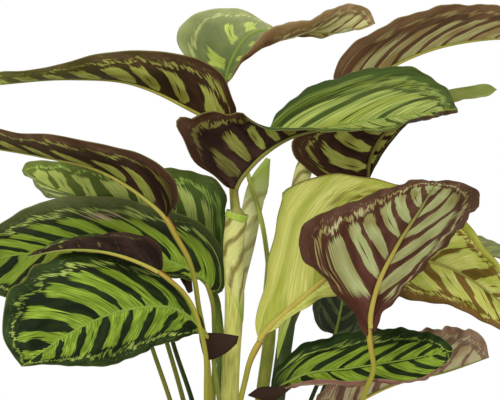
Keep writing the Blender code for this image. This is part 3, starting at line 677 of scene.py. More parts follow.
def addWall(piece, thickness, otherFace=0):
    # a wall on both sides of an open sheet; otherFace is the material slot of its back
    wall = piece.modifiers.new("wall", "SOLIDIFY")
    wall.thickness = thickness * mm
    wall.offset = 0
    wall.material_offset = otherFace
    wall.material_offset_rim = otherFace


def tubeMesh(name, line, across, high, material, slot, replaces=None, sides=20, lap=0.0,
             twist=0.0):
    # a tube along the line: each ring is an ellipse with half-axes across and high, whose
    # radius grows by lap once round, so that a rolled leaf shows its edge; ends are capped
    ahead, left = directions(line)[1:]
    rows = len(line)
    share = np.linspace(0, 1, rows)
    theta = np.linspace(0, 2 * math.pi, sides, endpoint=False)[None, :] + np.zeros((rows, 1))
    edge = 2 * math.pi * twist * share[:, None]
    grow = 1 + lap * (((theta - edge) / (2 * math.pi)) % 1.0 - 0.5)
    ring = (np.cos(theta) * grow * across[:, None])[..., None] * left[:, None, :]
    ring = ring + (np.sin(theta) * grow * high[:, None])[..., None] * ahead[:, None, :]
    points = np.vstack([(line[:, None, :] + ring).reshape(-1, 3), line[0], line[-1]])
    piece = newPiece(name, points, tubeFaces(rows, sides), [material], slot, replaces)
    addValue(piece, "down", np.concatenate([np.repeat(share, sides), [0, 1]]))
    # UV "skin" runs once round across, and along in tenths of a metre
    span = distances(line)[-1] / 100
    column = np.arange(sides)
    u = np.stack([column, column + 1, column + 1, column], 1) / sides + np.zeros((rows - 1, 1, 1))
    v = np.stack([share[:-1], share[:-1], share[1:], share[1:]], 1)[:, None, :] * span
    v = np.broadcast_to(v, (rows - 1, sides, 4))
    addUv(piece, "skin", np.concatenate([u.ravel(), np.tile([0.5, 0, 1], 2 * sides)]),
          np.concatenate([v.ravel(), np.repeat([0, span], 3 * sides)]))


bladeFigures = {
    "rows": 100, "columns": 26, "thickness": 0.6, "narrowest": 0.03,
    # how far rows sweep forward, in half-widths, by which power across, and a lobe's fade
    "sweep": 0.15, "sweepRise": 1.5, "lobeFade": 4,
    "tipPinch": 0.004, "tipLeast": 0.02, "baseEase": 0.02,      # shares of the length
    # how far the side veins run forward, in half-widths: near the base and from slantAt on
    "slants": (0.95, 1.30), "slantAt": 0.6, "veinBend": 1.25,
    # the margin's waves: how late they rise, the height, number and shift of a second wave
    "waveRise": 2.4, "overtone": (0.5, 2.3, 1.0), "fold": 0.5, "settle": 0.06,
    "tipClose": 0.13, "tipRound": 0.7, "bandRun": 20,     # band numbers kept for one leaf
    # the powers by which the painted sheen grows towards the margin, then the scar's depth and
    # spread
    "marginSheenRise": 5, "sheenRise": 6, "scarDepth": 0.56, "scarSpread": 1.6,
    "ribRadius": 2.3, "ribTip": 0.5, "ribTaper": 0.8, "ribSides": 12,
    "ribSink": (0.62, 0.3), "ribGreen": 0.3,  # in radii, less millimetres; radii above its middle
}


def half(width, angles, shape=(0.45, 0.8), lobe=0.2):
    # one half of a blade: its widest half-width, its turn about the midrib from base to tip
    # (0 flat, 90 to the side it is seen from), the powers of its outline at base and tip, and
    # how far the margin draws back at the base
    return {"width": width, "angles": angles, "shape": shape, "lobe": lobe}


def halfTo(edge, bulge=(0,), belly=None, pace=1.0, count=None, slants=None):
    # one half of a blade given by its margin from base to tip: bulge is how far its rows arc
    # away from a straight line, belly holds points they are drawn towards instead, and the
    # margin runs ahead of the midrib where pace is below 1; count and slants stand in for the
    # leaf's own
    return {"edge": edge, "bulge": bulge, "belly": belly, "pace": pace, "count": count,
            "slants": slants}


# "faces" are the skins above and below ("leftFaces" those of the left half), "midrib" and
# "stem" the other skins. "bands" is how many bands of veins a half has and where they begin on
# the left and on the right; "slants" is how far the veins run forward near the base and
# beyond, and "veinBend" the power they bend by. "ruffle" is the height and number of the
# margin's waves. "paleAndSheen" is a pale haze, in part painted sheen and in part the leaf's
# own paler parts: all over, towards the tip, which it reaches by the power "fade", and along
# the margin; "sheen" is more painted sheen and "scar" dried streaks on the right half, by their
# place and size. "rib" is the midrib from base to tip, "stalk" the way on down to the soil,
# "root" its foot there and "radii" its radius by shares of that way; "girth" thickens its upper
# end and "ribRadius" the midrib.
leaves = {
    "left_high": {
        "faces": ("upper", "litMaroon"), "stem": "olive",
        "bands": (8, 0.1, 0.4), "ruffle": (1.2, 4), "paleAndSheen": (0, 0.9, 0),
        "rib": [(-35, 5, 618), (-77, -4, 646), (-131, -12, 668), (-196, -18, 672),
                (-288, -22, 664)],
        "left": halfTo([(-15, -2, 637), (-20, -12, 653), (-30, -26, 676), (-54, -38, 691),
                        (-91, -46, 699), (-139, -50, 699), (-171, -50, 695), (-202, -44, 686),
                        (-237, -38, 680), (-267, -32, 679), (-282, -26, 676)],
                       (0, -5, -8, -4, 0), pace=0.9),
        "right": half(60, (-50, -70, -75, -80, -80), lobe=0.35),
        "stalk": [(-24, 10, 584), (-20, 14, 540), (-20, 18, 429), (-23, 18, 318)],
        "root": (-14, 24),
    },
    "left_middle": {
        "faces": ("upper", "maroon"), "stem": "amber", "girth": 1.3,
        "bands": (6.8, 0.7, 0.2), "slants": (1.7, 2.6), "ruffle": (1.2, 4), "paleAndSheen": (0, 0.15, 0),
        "rib": [(-89, -70, 521), (-116, -76, 546), (-157, -84, 571), (-219, -94, 586),
                (-306, -100, 599)],
        "left": halfTo([(-85, -66, 526), (-77, -70, 537), (-76, -78, 551), (-80, -86, 563),
                        (-92, -96, 575), (-114, -106, 588), (-144, -112, 596), (-175, -116, 602),
                        (-206, -116, 608), (-237, -112, 609), (-274, -106, 615)],
                       (0, -4, -8, -5, 0)),
        "right": half(56, (-50, -70, -75, -75, -80), lobe=0.35),
        "stalk": [(-78, -68, 501), (-66, -65, 479), (-59, -60, 455), (-55, -56, 428),
                  (-49, -52, 396), (-42, -42, 325)], "root": (-30, -20),
    },
    "centre": {
        "faces": ("softUpper", "maroon"), "midrib": "shadowed", "stem": "pale",
        "bands": (15, 0.3, 0.6), "slants": (0.1, 0.6), "ruffle": (1.4, 6), "paleAndSheen": (0, 0.12, 0),
        "rib": [(-15, -45, 552), (2, -49, 577), (37, -50, 604), (107, -42, 621), (225, -25, 639)],
        "left": halfTo([(-8, -40, 566), (6, -30, 594), (22, -12, 621), (51, 20, 656),
                        (90, 36, 675), (129, 40, 686), (168, 32, 690), (200, 18, 678),
                        (218, 4, 660)],
                       (0, 4, 10, 8, 0), pace=0.85, count=5.5, slants=(1.7, 2.5)),
        "right": halfTo([(-20, -48, 552), (-40, -52, 567), (-59, -58, 580), (-70, -64, 604),
                         (-78, -69, 624), (-72, -71, 629), (-63, -72, 626), (-52, -73, 632),
                         (-38, -75, 635), (-23, -78, 628), (-10, -80, 632), (0, -83, 622),
                         (13, -86, 617), (30, -92, 613), (52, -96, 612), (93, -104, 612),
                         (135, -100, 611), (179, -80, 627)],
                        (0, 6, 0, -6, -4), pace=0.66),
        "stalk": [(-14, -42, 526), (-17, -38, 500), (-17, -28, 432), (-22, -16, 322)],
        "radii": [(0, 2.7), (0.05, 3.6), (0.07, 10), (0.2, 10.6), (0.45, 9.6), (0.6, 10), (1, 12)],
        "root": (-12, 0),
    },
    "centre_under": {
        "faces": ("upper", "litMaroon"), "midrib": "shadowed", "stem": "olive",
        "bands": (9.5, 0.2, 0.5), "slants": (0.0, 1.2), "ruffle": (0.8, 5), "paleAndSheen": (0, 5, 0),
        "fade": 4,
        "rib": [(135, 60, 558), (136, 58, 585), (148, 52, 611), (186, 44, 635), (277, 36, 664)],
        "left": halfTo([(137, 56, 567), (146, 53, 585), (158, 49, 603), (174, 45, 622),
                        (196, 41, 639), (230, 37, 651), (258, 35, 655), (271, 35, 659)]),
        "right": halfTo([(108, 64, 559), (80, 62, 565), (62, 58, 577), (49, 54, 592),
                         (47, 50, 605), (62, 46, 619), (101, 40, 639), (157, 38, 652),
                         (213, 36, 662), (248, 34, 668), (269, 34, 669)],
                        (0, -6, -8, 0, 0), pace=0.8, count=10, slants=(0.3, 0.6)),
        "stalk": [(132, 62, 534), (108, 58, 495), (70, 50, 444), (46, 42, 394), (31, 34, 316)],
        "root": (22, 28),
    },
    "right_high": {
        "faces": ("upper", "rosy"), "stem": "green",
        "bands": (8.6, 0.4, 0.1), "slants": (2.2, 2.4), "ruffle": (1.8, 6),
        "paleAndSheen": (0.1, 0.1, 0),
        "rib": [(120, 130, 660), (153, 132, 689), (206, 130, 715), (282, 120, 729),
                (373, 104, 722)],
        "left": half(60, (-50, -60, -60, -70, -70), (0.4, 0.7)),
        "right": half(62, (165, 138, 135, 132, 120), (0.4, 0.7), lobe=0.4),
        "stalk": [(88, 114, 622), (64, 88, 580), (54, 54, 540), (45, 22, 429), (30, 8, 319)],
        "radii": [(0, 2.4), (0.165, 2.8), (0.18, 8), (0.3, 8.6), (0.6, 8.6), (1, 8.6)],
        "root": (18, 2),
    },
    "right_pale": {
        "faces": ("upper", "lime"), "leftFaces": ("upper", "limeEdged"), "stem": "amber",
        "girth": 1.5, "ribRadius": 3.3,
        "bands": (9, 0.6, 0.3), "ruffle": (2.4, 5), "paleAndSheen": (0, 0, 0),
        "rib": [(11, -60, 390), (53, -72, 433), (115, -84, 479), (198, -95, 473),
                (293, -102, 409)],
        "left": halfTo([(19, -66, 398), (42, -74, 416), (72, -76, 434), (116, -76, 439),
                        (157, -84, 438), (193, -92, 432), (224, -98, 424), (244, -102, 413),
                        (270, -103, 402)],
                       (0, -3, -6, -4, 0)),
        "right": halfTo([(9, -58, 393), (6, -54, 404), (9, -51, 429), (15, -50, 455),
                         (24, -51, 487), (29, -52, 510), (32, -53, 537), (33, -54, 550),
                         (41, -56, 554), (51, -59, 558), (66, -62, 563), (85, -66, 566),
                         (118, -76, 566), (152, -88, 557), (187, -96, 542), (220, -100, 525),
                         (237, -102, 498), (261, -104, 470)],
                        (0, -10, -14, -8, 0), pace=0.85),
        "stalk": [(0, -58, 368), (-5, -54, 348), (-10, -50, 326)], "root": (-4, -34),
    },
    "front_right": {
        "faces": ("upper", "rust"), "stem": "amber", "girth": 1.27, "ribRadius": 2.8,
        "bands": (7.6, 0.2, 0.55), "slants": (0.8, 1.1), "veinBend": 0.85, "ruffle": (1.6, 7),
        "paleAndSheen": (0, 0.1, 0),
        "rib": [(123, -110, 408), (129, -120, 446), (149, -150, 495), (169, -192, 533),
                (180, -225, 558)],
        "left": halfTo([(128, -106, 404), (137, -104, 420), (155, -108, 443), (179, -122, 472),
                        (204, -150, 502), (216, -190, 524), (221, -226, 540), (217, -241, 549),
                        (209, -243, 555), (199, -238, 557), (188, -231, 559)],
                       (0, -5, -8, -4, 0), count=6, slants=(1.2, 1.5)),
        "right": halfTo([(121, -112, 400), (107, -110, 422), (78, -108, 457), (51, -108, 489),
                         (51, -112, 507), (72, -124, 526), (96, -140, 535), (135, -166, 551),
                         (167, -200, 560)],
                        (0, -8, -12, -8, 0), pace=0.9),
        "stalk": [(125, -108, 387), (128, -105, 365), (121, -100, 344), (117, -95, 331)],
        "root": (16, -38),
    },
    "front_left": {
        "faces": ("brightUpper", "maroon"), "stem": "olive",
        "bands": (8.2, 0.45, 0.1), "slants": (0.95, 0.7), "ruffle": (1.8, 5), "paleAndSheen": (0, 0, 0),
        "rib": [(-48, -75, 400), (-73, -90, 424), (-123, -122, 428), (-176, -155, 409),
                (-226, -180, 375)],
        "left": halfTo([(-53, -74, 399), (-67, -84, 396), (-88, -100, 391), (-111, -118, 383),
                        (-130, -134, 375), (-151, -148, 372), (-190, -166, 375),
                        (-213, -176, 376)],
                       (0, 3, 5, 3, 0)),
        "right": halfTo([(-52, -60, 415), (-69, -62, 442), (-95, -72, 464), (-134, -92, 479),
                         (-160, -108, 485), (-191, -124, 486), (-207, -134, 476),
                         (-220, -142, 473), (-228, -148, 460), (-241, -156, 451),
                         (-246, -164, 428), (-246, -172, 404), (-236, -177, 387)],
                        (0, 4, 6, 4, 0), pace=0.9),
        "stalk": [(-41, -72, 387), (-38, -66, 365), (-33, -56, 327)], "root": (-20, -30),
    },
    "front_maroon": {
        "faces": ("upper", "plum"), "stem": "amber",
        "bands": (7, 0.3, 0.1), "ruffle": (1.0, 4), "paleAndSheen": (0, 0.1, 0),
        "rib": [(-95, -108, 466), (-114, -114, 476), (-149, -122, 487), (-189, -130, 489),
                (-227, -136, 482)],
        "left": halfTo([(-92, -104, 467), (-90, -100, 480), (-95, -102, 493), (-107, -106, 502),
                        (-124, -110, 506), (-150, -116, 505), (-174, -122, 501),
                        (-194, -126, 496), (-214, -130, 489)],
                       (0, -3, -5, -3, 0)),
        "right": half(34, (-50, -60, -60, -60, -60), (0.3, 0.8)),
        "stalk": [(-82, -105, 456), (-70, -102, 445), (-60, -99, 430), (-53, -95, 410),
                  (-47, -90, 383), (-46, -78, 330)], "root": (-34, -36),
    },
    "left_low": {
        "faces": ("upper", "maroon"), "stem": "olive",
        "bands": (9, 0.1, 0.5), "ruffle": (2.6, 6), "paleAndSheen": (0, 0, 0.06),
        "sheen": (0.42, 0.2, 0.5), "scar": (0.37, 0.67, 0.13),
        "rib": [(-48, -26, 450), (-68, -28, 465), (-108, -35, 480), (-171, -50, 487),
                (-239, -62, 483), (-311, -70, 469)],
        "left": half(60, (60, 40, 30, 20, 20), (1.1, 0.8)),
        "right": halfTo([(-43, -26, 444), (-37, -26, 438), (-30, -24, 441), (-27, -22, 452),
                         (-27, -20, 466), (-29, -18, 481), (-35, -16, 495), (-45, -15, 507),
                         (-56, -14, 516), (-69, -13, 522), (-87, -12, 528), (-109, -12, 533),
                         (-133, -14, 540), (-158, -16, 544), (-185, -20, 544), (-206, -24, 543),
                         (-225, -28, 538), (-246, -33, 529), (-264, -38, 518), (-294, -47, 501),
                         (-305, -59, 489)],
                        (0, -4, -6, -4, 0), pace=0.6),
        "stalk": [(-42, -25, 434), (-39, -21, 398), (-40, -14, 321)], "root": (-38, -6),
    },
    "left_upper": {
        "faces": ("paleTip", "maroon"), "stem": "leafy", "girth": 1.2,
        "bands": (8.6, 0.4, 0.8), "ruffle": (2.4, 6), "paleAndSheen": (0, 0.65, 0), "fade": 1.5,
        "rib": [(-40, 10, 439), (-66, 10, 480), (-110, 6, 521), (-180, -6, 541), (-220, -14, 555),
                (-248, -20, 573)],
        "left": half(60, (0, -20, -50, -75, -75), (1.3, 0.8)),
        "right": halfTo([(-37, 14, 438), (-30, 20, 462), (-27, 26, 495), (-26, 28, 523),
                         (-26, 28, 543), (-39, 26, 562), (-61, 22, 572), (-91, 14, 574),
                         (-132, 0, 574), (-160, -6, 575), (-184, -12, 579), (-208, -16, 582),
                         (-232, -18, 583), (-244, -19, 580)],
                        (0, 5, 8, 4, 0), pace=0.85),
        "stalk": [(-34, 8, 398), (-31, 5, 320)],
        "radii": [(0, 2.4), (0.1, 4.2), (0.35, 5), (1, 5.5)], "root": (-32, 8),
    },
    "lower_right": {
        "faces": ("darkEdged", "pink"), "stem": "olive",
        "bands": (7, 0.3, 0.7), "slants": (1.7, 2.3), "ruffle": (2.4, 6), "paleAndSheen": (0, 0, 0),
        "rib": [(26, -45, 334), (54, -52, 352), (106, -62, 361), (164, -70, 371), (214, -76, 381)],
        "left": half(46, (-38, -38, -38, -40, -40), (0.6, 0.6)),
        "right": halfTo([(36, -50, 339), (53, -66, 347), (79, -84, 352), (104, -94, 351),
                         (135, -98, 354), (158, -100, 352), (177, -98, 355), (194, -92, 363),
                         (209, -84, 372)],
                        belly=[(38, -50, 335), (57, -70, 337), (84, -90, 339), (106, -98, 336),
                               (135, -102, 343), (158, -104, 340), (177, -100, 345),
                               (196, -94, 352), (212, -86, 366)]),
        "stalk": [(13, -46, 317), (7, -45, 282)], "root": (4, -46),
    },
    "lower_under": {
        "faces": ("upper", "pink"), "stem": "green",
        "bands": (8, 0.5, 0.2), "ruffle": (4.2, 7), "paleAndSheen": (0.1, 0.2, 0.1),
        "rib": [(79, 0, 289), (110, 0, 313), (160, 0, 338), (215, 0, 351), (263, 0, 367)],
        "left": half(50, (-50, -60, -60, -60, -60), (0.5, 0.35)),
        "right": half(56, (165, 160, 160, 160, 160), (0.5, 0.35)),
        "stalk": [(55, -4, 262)], "root": (36, -14),
    },
    "back_small": {
        "faces": ("deepUpper", "maroon"), "stem": "green",
        "bands": (5.5, 0.2, 0.6), "ruffle": (1.2, 4), "paleAndSheen": (0.1, 0.1, 0.3),
        "rib": [(97, 70, 386), (105, 80, 419), (110, 94, 448), (114, 112, 475)],
        "left": half(34, (10,)),
        "right": half(34, (-10,)),
        "stalk": [(82, 58, 345), (58, 40, 287)], "root": (38, 14),
    },
    "right_back": {
        "faces": ("upper", "maroon"), "stem": "green", "facing": up,
        "bands": (7, 0.1, 0.5), "ruffle": (1.8, 5), "paleAndSheen": (0.5, 0, 0.2),
        "rib": [(207, 84, 467), (253, 86, 476), (312, 92, 473), (376, 98, 447)],
        "left": half(46, (40, 20, 5)),
        "right": half(46, (30, -10, -20)),
        "stalk": [(168, 96, 442), (126, 108, 407), (111, 106, 387), (94, 94, 344), (72, 70, 289)],
        "root": (42, 32),
    },
    "top": {
        "faces": ("silverUpper", "silk"), "stem": "sheath",
        "bands": (9, 0.5, 0.2), "slants": (0.0, 1.2), "ruffle": (1.7, 6),
        "paleAndSheen": (0.08, 1.3, 0.2),
        "rib": [(-28, 35, 669), (-19, 32, 700), (0, 28, 725), (55, 24, 727), (100, 19, 726),
                (139, 15, 736)],
        "left": halfTo([(-40, 40, 675), (-61, 44, 691), (-76, 48, 706), (-83, 50, 721),
                        (-81, 50, 733), (-68, 52, 747), (-42, 52, 756), (-11, 50, 756),
                        (14, 44, 742), (39, 32, 726), (69, 18, 720), (105, 12, 727),
                        (124, 10, 730)],
                       (0, -4, -4, 0, 0), pace=0.8),
        "right": halfTo([(-22, 26, 676), (-13, 14, 691), (-2, 4, 705), (13, -4, 721),
                         (28, -8, 731), (50, -10, 735), (69, -8, 739), (89, -4, 750),
                         (112, 2, 756), (132, 10, 750)],
                        belly=[(-13, 24, 680), (4, 16, 693), (31, 12, 697), (58, 10, 706),
                               (71, 6, 717), (93, 4, 734), (113, 8, 742), (126, 12, 742)],
                        pace=0.8),
        "stalk": [(-12, 30, 607), (0, 2, 560), (12, -4, 520), (19, 12, 478), (22, 30, 430),
                  (22, 34, 394), (13, 28, 317)],
        "radii": [(0, 2.4), (0.4, 2.7), (0.46, 7), (1, 7.6)], "root": (5, 27),
    },
    "back_left_low": {
        "faces": ("upper", "maroon"), "stem": "olive", "facing": up,
        "bands": (7, 0.2, 0.6), "ruffle": (1.6, 5), "paleAndSheen": (0, 0.1, 0),
        "rib": [(-131, 15, 438), (-163, 35, 450), (-205, 60, 443), (-241, 80, 425)],
        "left": half(36, (25, 5, -10)),
        "right": half(36, (25, 5, -10)),
        "stalk": [(-118, 8, 407), (-107, 2, 375), (-88, 0, 320)], "root": (-52, 2),
    },
    "back_left": {
        "faces": ("brightUpper", "maroon"), "stem": "olive", "facing": up,
        "bands": (7.4, 0.4, 0.9), "ruffle": (1.8, 5), "paleAndSheen": (0, 0, 0),
        "rib": [(-114, 60, 492), (-126, 80, 523), (-158, 110, 540), (-196, 140, 534)],
        "left": half(42, (40, 15, 0)),
        "right": half(42, (40, 15, 0)),
        "stalk": [(-111, 50, 461), (-105, 36, 417), (-92, 22, 379), (-74, 12, 319)],
        "root": (-46, 16),
    },
    "back_far": {
        "faces": ("upper", "maroon"), "stem": "green", "facing": up,
        "bands": (7.4, 0.7, 0.3), "ruffle": (2.0, 6), "paleAndSheen": (0, 0, 0.1),
        "rib": [(-98, 95, 482), (-88, 130, 501), (-72, 170, 500), (-55, 205, 479)],
        "left": half(46, (45, 15, 5)),
        "right": half(46, (45, 15, 5)),
        "stalk": [(-100, 80, 448), (-97, 60, 415), (-86, 42, 377), (-65, 28, 317)],
        "root": (-34, 30),
    },
    "back_right": {
        "faces": ("brightUpper", "rust"), "stem": "olive", "facing": up,
        "bands": (7.4, 0.1, 0.5), "ruffle": (2.0, 5), "paleAndSheen": (0, 0, 0),
        "rib": [(70, 122, 500), (84, 155, 526), (102, 190, 528), (116, 226, 504)],
        "left": half(46, (40, 10, -5)),
        "right": half(46, (40, 10, -5)),
        "stalk": [(62, 104, 470), (49, 78, 426), (40, 60, 381), (30, 50, 315)], "root": (22, 44),
    },
}


def outline(s, shape):
    # half-width as a share of the widest: s^a (1-s)^b, scaled to 1 at its peak
    a, b = shape
    peak = a / (a + b)
    return (s / peak) ** a * ((1 - s) / (1 - peak)) ** b


def turnedHalf(line, s, part, side, axes, t):
    # straight out from the midrib, as far as the half is wide at that row
    figures = bladeFigures
    along, ahead, left = axes
    width = part["width"] * np.maximum(outline(s, part["shape"]), figures["narrowest"])[:, None]
    width = width * np.minimum(1, (1 - s[:, None]) / figures["tipPinch"] + figures["tipLeast"])
    turn = np.radians(spread(part["angles"], s))[:, None]
    shift = figures["sweep"] * s[:, None] - part["lobe"] * (1 - s[:, None]) ** figures["lobeFade"]
    shift = shift * np.minimum(1, s[:, None] / figures["baseEase"])
    points = (line[:, None, :]
              + (side * width * t * np.cos(turn))[..., None] * left[:, None, :]
              + (width * t * np.sin(turn))[..., None] * ahead[:, None, :]
              + (shift * width * t ** figures["sweepRise"])[..., None] * along[:, None, :])
    return points, width


def sewnHalf(line, s, part, side, along, t):
    # a quadratic curve from the midrib to the given margin
    margin = smoothLine([line[0], *part["edge"], line[-1]], s ** part["pace"])
    chord = margin - line
    width = np.linalg.norm(chord, axis=1)[:, None]
    if part["belly"]:
        drawn = smoothLine([line[0], *part["belly"], line[-1]], s ** part["pace"])
    else:
        rise = np.cross(along, chord) * side
        rise /= np.maximum(np.linalg.norm(rise, axis=1), 1e-6)[:, None]
        drawn = (line + margin) / 2 + rise * 2 * spread(part["bulge"], s)[:, None]
    u = t[..., None]
    points = (line[:, None, :] * (1 - u) ** 2 + drawn[:, None, :] * 2 * u * (1 - u)
              + margin[:, None, :] * u ** 2)
    return points, width


def bladeHalf(line, s, part, side, leaf, facing):
    # from the midrib to one margin, with waves that grow towards the margin and a low fold
    # along each band of veins; returns its points, their band numbers and their normals
    figures = bladeFigures
    axes = directions(line, facing)
    t = np.linspace(0, 1, figures["columns"])[None, :]
    if "edge" in part:
        points, width = sewnHalf(line, s, part, side, axes[0], t)
    else:
        points, width = turnedHalf(line, s, part, side, axes, t)
    count, leftPhase, rightPhase = leaf["bands"]
    count = part.get("count") or count
    phase = leftPhase if side > 0 else rightPhase
    slants = part.get("slants") or leaf.get("slants", figures["slants"])
    slant = np.interp(s, [0, figures["slantAt"]], slants)[:, None]
    length = np.linalg.norm(np.diff(line, axis=0), axis=1).sum()
    lean = slant * t ** leaf.get("veinBend", figures["veinBend"]) * width / length
    band = (s[:, None] - lean) * count + phase

    normal = np.cross(np.gradient(points, axis=0), np.gradient(points, axis=1)) * side
    normal /= np.maximum(np.linalg.norm(normal, axis=-1), 1e-9)[..., None]
    size, waves = leaf["ruffle"]
    swing = 2 * math.pi * (waves * s[:, None] + phase * 3)
    height, number, shift = figures["overtone"]
    wave = size * (np.sin(swing) + height * np.sin(number * swing + shift)) \
        * t ** figures["waveRise"]
    fold = figures["fold"] * np.cos(2 * math.pi * band) * t * (1 - t) * 4
    ease = np.minimum(1, np.minimum(s, 1 - s)[:, None] / figures["settle"])
    points = points + ((wave + fold) * ease)[..., None] * normal
    return points, band, normal


def addBlade(name, leaf, index):
    figures = bladeFigures
    facing = leaf.get("facing", front)
    s = (1 - np.cos(np.linspace(0, math.pi, figures["rows"]))) / 2
    line = smoothLine(leaf["rib"], s, leaf["stalk"][0])
    leftPoints, leftBand, leftNormal = bladeHalf(line, s, leaf["left"], 1, leaf, facing)
    rightPoints, rightBand, rightNormal = bladeHalf(line, s, leaf["right"], -1, leaf, facing)
    sheet = np.concatenate([leftPoints[:, :0:-1], rightPoints], axis=1)
    rows, columns = sheet.shape[:2]
    corner = gridFaces(rows, columns)
    skins = [faces[key] for key in (*leaf["faces"], *leaf.get("leftFaces", ()))]
    piece = newPiece("blade_" + name, sheet.reshape(-1, 3), [corner], skins,
                     frameSlot["leaf_" + name], "leaf_" + name)
    isLeft = corner[:, 0] % columns < figures["columns"] - 1
    if "leftFaces" in leaf:
        piece.data.polygons.foreach_set("material_index", (2 * isLeft).astype(np.int32))

    # each half has its own run of band numbers, so that they differ across the midrib
    side = np.linspace(-1, 1, columns)[None, :]
    t = np.abs(side) + np.zeros((rows, 1))
    closing = np.clip((1 - s[:, None]) / figures["tipClose"], 0, 1) ** figures["tipRound"]
    out = 1 - (1 - t) * closing          # the pattern's lines close round the tip
    run = figures["bandRun"]
    leftOf = np.concatenate([leftBand[:, ::-1], leftBand[:, 1:] * 0], axis=1) + run * index + 1
    rightOf = np.concatenate([rightBand[:, :0:-1] * 0, rightBand], axis=1) \
        + run * (index + 0.5) + 1
    bandAt = np.where(isLeft[:, None], leftOf.ravel()[corner], rightOf.ravel()[corner])
    addUv(piece, "bands", bandAt.ravel(), out.ravel()[corner].ravel())
    addValue(piece, "alongBlade", np.repeat(s, columns))
    # how much pale haze each point takes, in part painted sheen and in part the leaf's own paler
    # tip: all over, towards the tip and along the margin; "sheen" adds painted sheen near the right
    # half's margin
    base, tipGain, marginGain = leaf["paleAndSheen"]
    paleAndSheen = base + tipGain * s[:, None] ** leaf.get("fade", 2) \
        + marginGain * t ** figures["marginSheenRise"]
    if "sheen" in leaf:
        at, size, strength = leaf["sheen"]
        paleAndSheen = paleAndSheen + strength * np.exp(-((s[:, None] - at) / size) ** 2) \
            * side.clip(0, 1) ** figures["sheenRise"]
    addValue(piece, "paleAndSheen", paleAndSheen.ravel())
    if "scar" in leaf:
        at, across, size = leaf["scar"]
        wide = size * figures["scarSpread"]
        scar = np.exp(-((s[:, None] - at) / size) ** 2 - ((side - across) / wide) ** 2)
        addValue(piece, "scar", (figures["scarDepth"] * scar).ravel())
    addWall(piece, figures["thickness"], 1)

    # the midrib, a round tube, stands out below and is nearly flush on top
    top = leftNormal[:, 1] + rightNormal[:, 1]
    top /= np.linalg.norm(top, axis=1)[:, None]
    sides, slim = figures["ribSides"], figures["ribTip"]
    radius = slim + (leaf.get("ribRadius", figures["ribRadius"]) - slim) \
        * (1 - s) ** figures["ribTaper"]
    across = np.cross(top, directions(line, facing)[0])
    theta = np.linspace(0, 2 * math.pi, sides, endpoint=False)[None, :]
    centre = line - top * (figures["ribSink"][0] * radius - figures["ribSink"][1])[:, None]
    ring = (np.cos(theta) * radius[:, None])[..., None] * across[:, None, :] \
        + (np.sin(theta) * radius[:, None])[..., None] * top[:, None, :]
    points = np.vstack([(centre[:, None, :] + ring).reshape(-1, 3), centre[0], centre[-1]])
    rib = newPiece("midrib_" + name, points, tubeFaces(rows, sides),
                   [ribFinishes[leaf.get("midrib", "ochre")]], "stalk")
    isAbove = np.sin(theta[0]) > figures["ribGreen"]
    addValue(rib, "above", np.concatenate([np.tile(isAbove, rows), [0, 0]]))
    addValue(rib, "down", np.concatenate([np.repeat(s, sides), [0, 1]]))
    return sheet


mostOutside = 6               # millimetres that a blade may pass its solid's box unreported
for index, (name, leaf) in enumerate(leaves.items()):
    sheet = addBlade(name, leaf, index)
    low, high = (np.array(corner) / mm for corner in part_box("leaf_" + name))
    off = max((low - sheet.min((0, 1))).max(), (sheet.max((0, 1)) - high).max())
    if off > mostOutside:
        print("  blade", name, "stands", round(float(off), 1), "mm outside its solid's box")
print("blades ready:", len(leaves))

stalkFigures = {
    "foot": 4.2, "kneeLength": 22, "kneeGain": 0.16, "kneeUpTo": 4,      # a thicker one has none
    "spacing": 4.0, "soilTop": 160, "bury": 13,
    "slender": [(0, 2.2), (0.5, 2.7), (1, 4.0)], "flatness": 0.92,
}


def stalkLine(leaf, count=None):
    # from the midrib's foot down to the soil, carrying on the midrib's own curve
    figures = stalkFigures
    x, y = leaf["root"]
    route = [leaf["rib"][0], *leaf["stalk"], (x, y, figures["soilTop"] + figures["foot"]),
             (x, y, figures["soilTop"] - figures["bury"])]
    length = np.linalg.norm(np.diff(np.array(route), axis=0), axis=1).sum()
    shares = np.linspace(0, 1, count or int(length / figures["spacing"]))
    return smoothLine(route, shares, leaf["rib"][1])


def addStalk(name, leaf):
    # thickest at the foot, with a swollen knee just below the blade
    figures = stalkFigures
    line = stalkLine(leaf)
    share = np.linspace(0, 1, len(line))
    radius = np.interp(share, *zip(*leaf.get("radii", figures["slender"])))
    radius = radius * (1 + (leaf.get("girth", 1) - 1) * (1 - share) ** 3)
    fromKnee = distances(line) / figures["kneeLength"] * 2 - 1
    knee = np.exp(-fromKnee ** 2) * (radius < figures["kneeUpTo"])
    radius = radius * (1 + figures["kneeGain"] * knee)
    tubeMesh("petiole_" + name, line, radius, radius * figures["flatness"],
             stemSkins[leaf["stem"]], "stalk", "stalk_" + name)


for name, leaf in leaves.items():
    addStalk(name, leaf)
print("stalks ready")

youngFigures = {
    "rib": [(-15, -4, 404), (-12, -1, 450), (-4, 3, 490), (5, 8, 540), (12, 9, 566), (20, 9, 586)],
    "widths": [3, 6.5, 8.5, 10, 11.4, 10.8, 2.6], "rows": 70, "sides": 48, "lap": 0.24,
    "turns": 0.55, "flatness": 0.8,
    "stalk": [(-16, -2, 380), (-14, 4, 320)], "root": (-2, 17), "stem": "pale",
}


def addYoungLeaf():
    fig = youngFigures
    share = np.linspace(0, 1, fig["rows"])
    radius = spread(fig["widths"], share)
    tubeMesh("young_leaf", smoothLine(fig["rib"], share), radius, radius * fig["flatness"],
             youngFinish, frameSlot["leaf_rolled"], "leaf_rolled", fig["sides"], fig["lap"],
             fig["turns"])
    addStalk("rolled", fig)


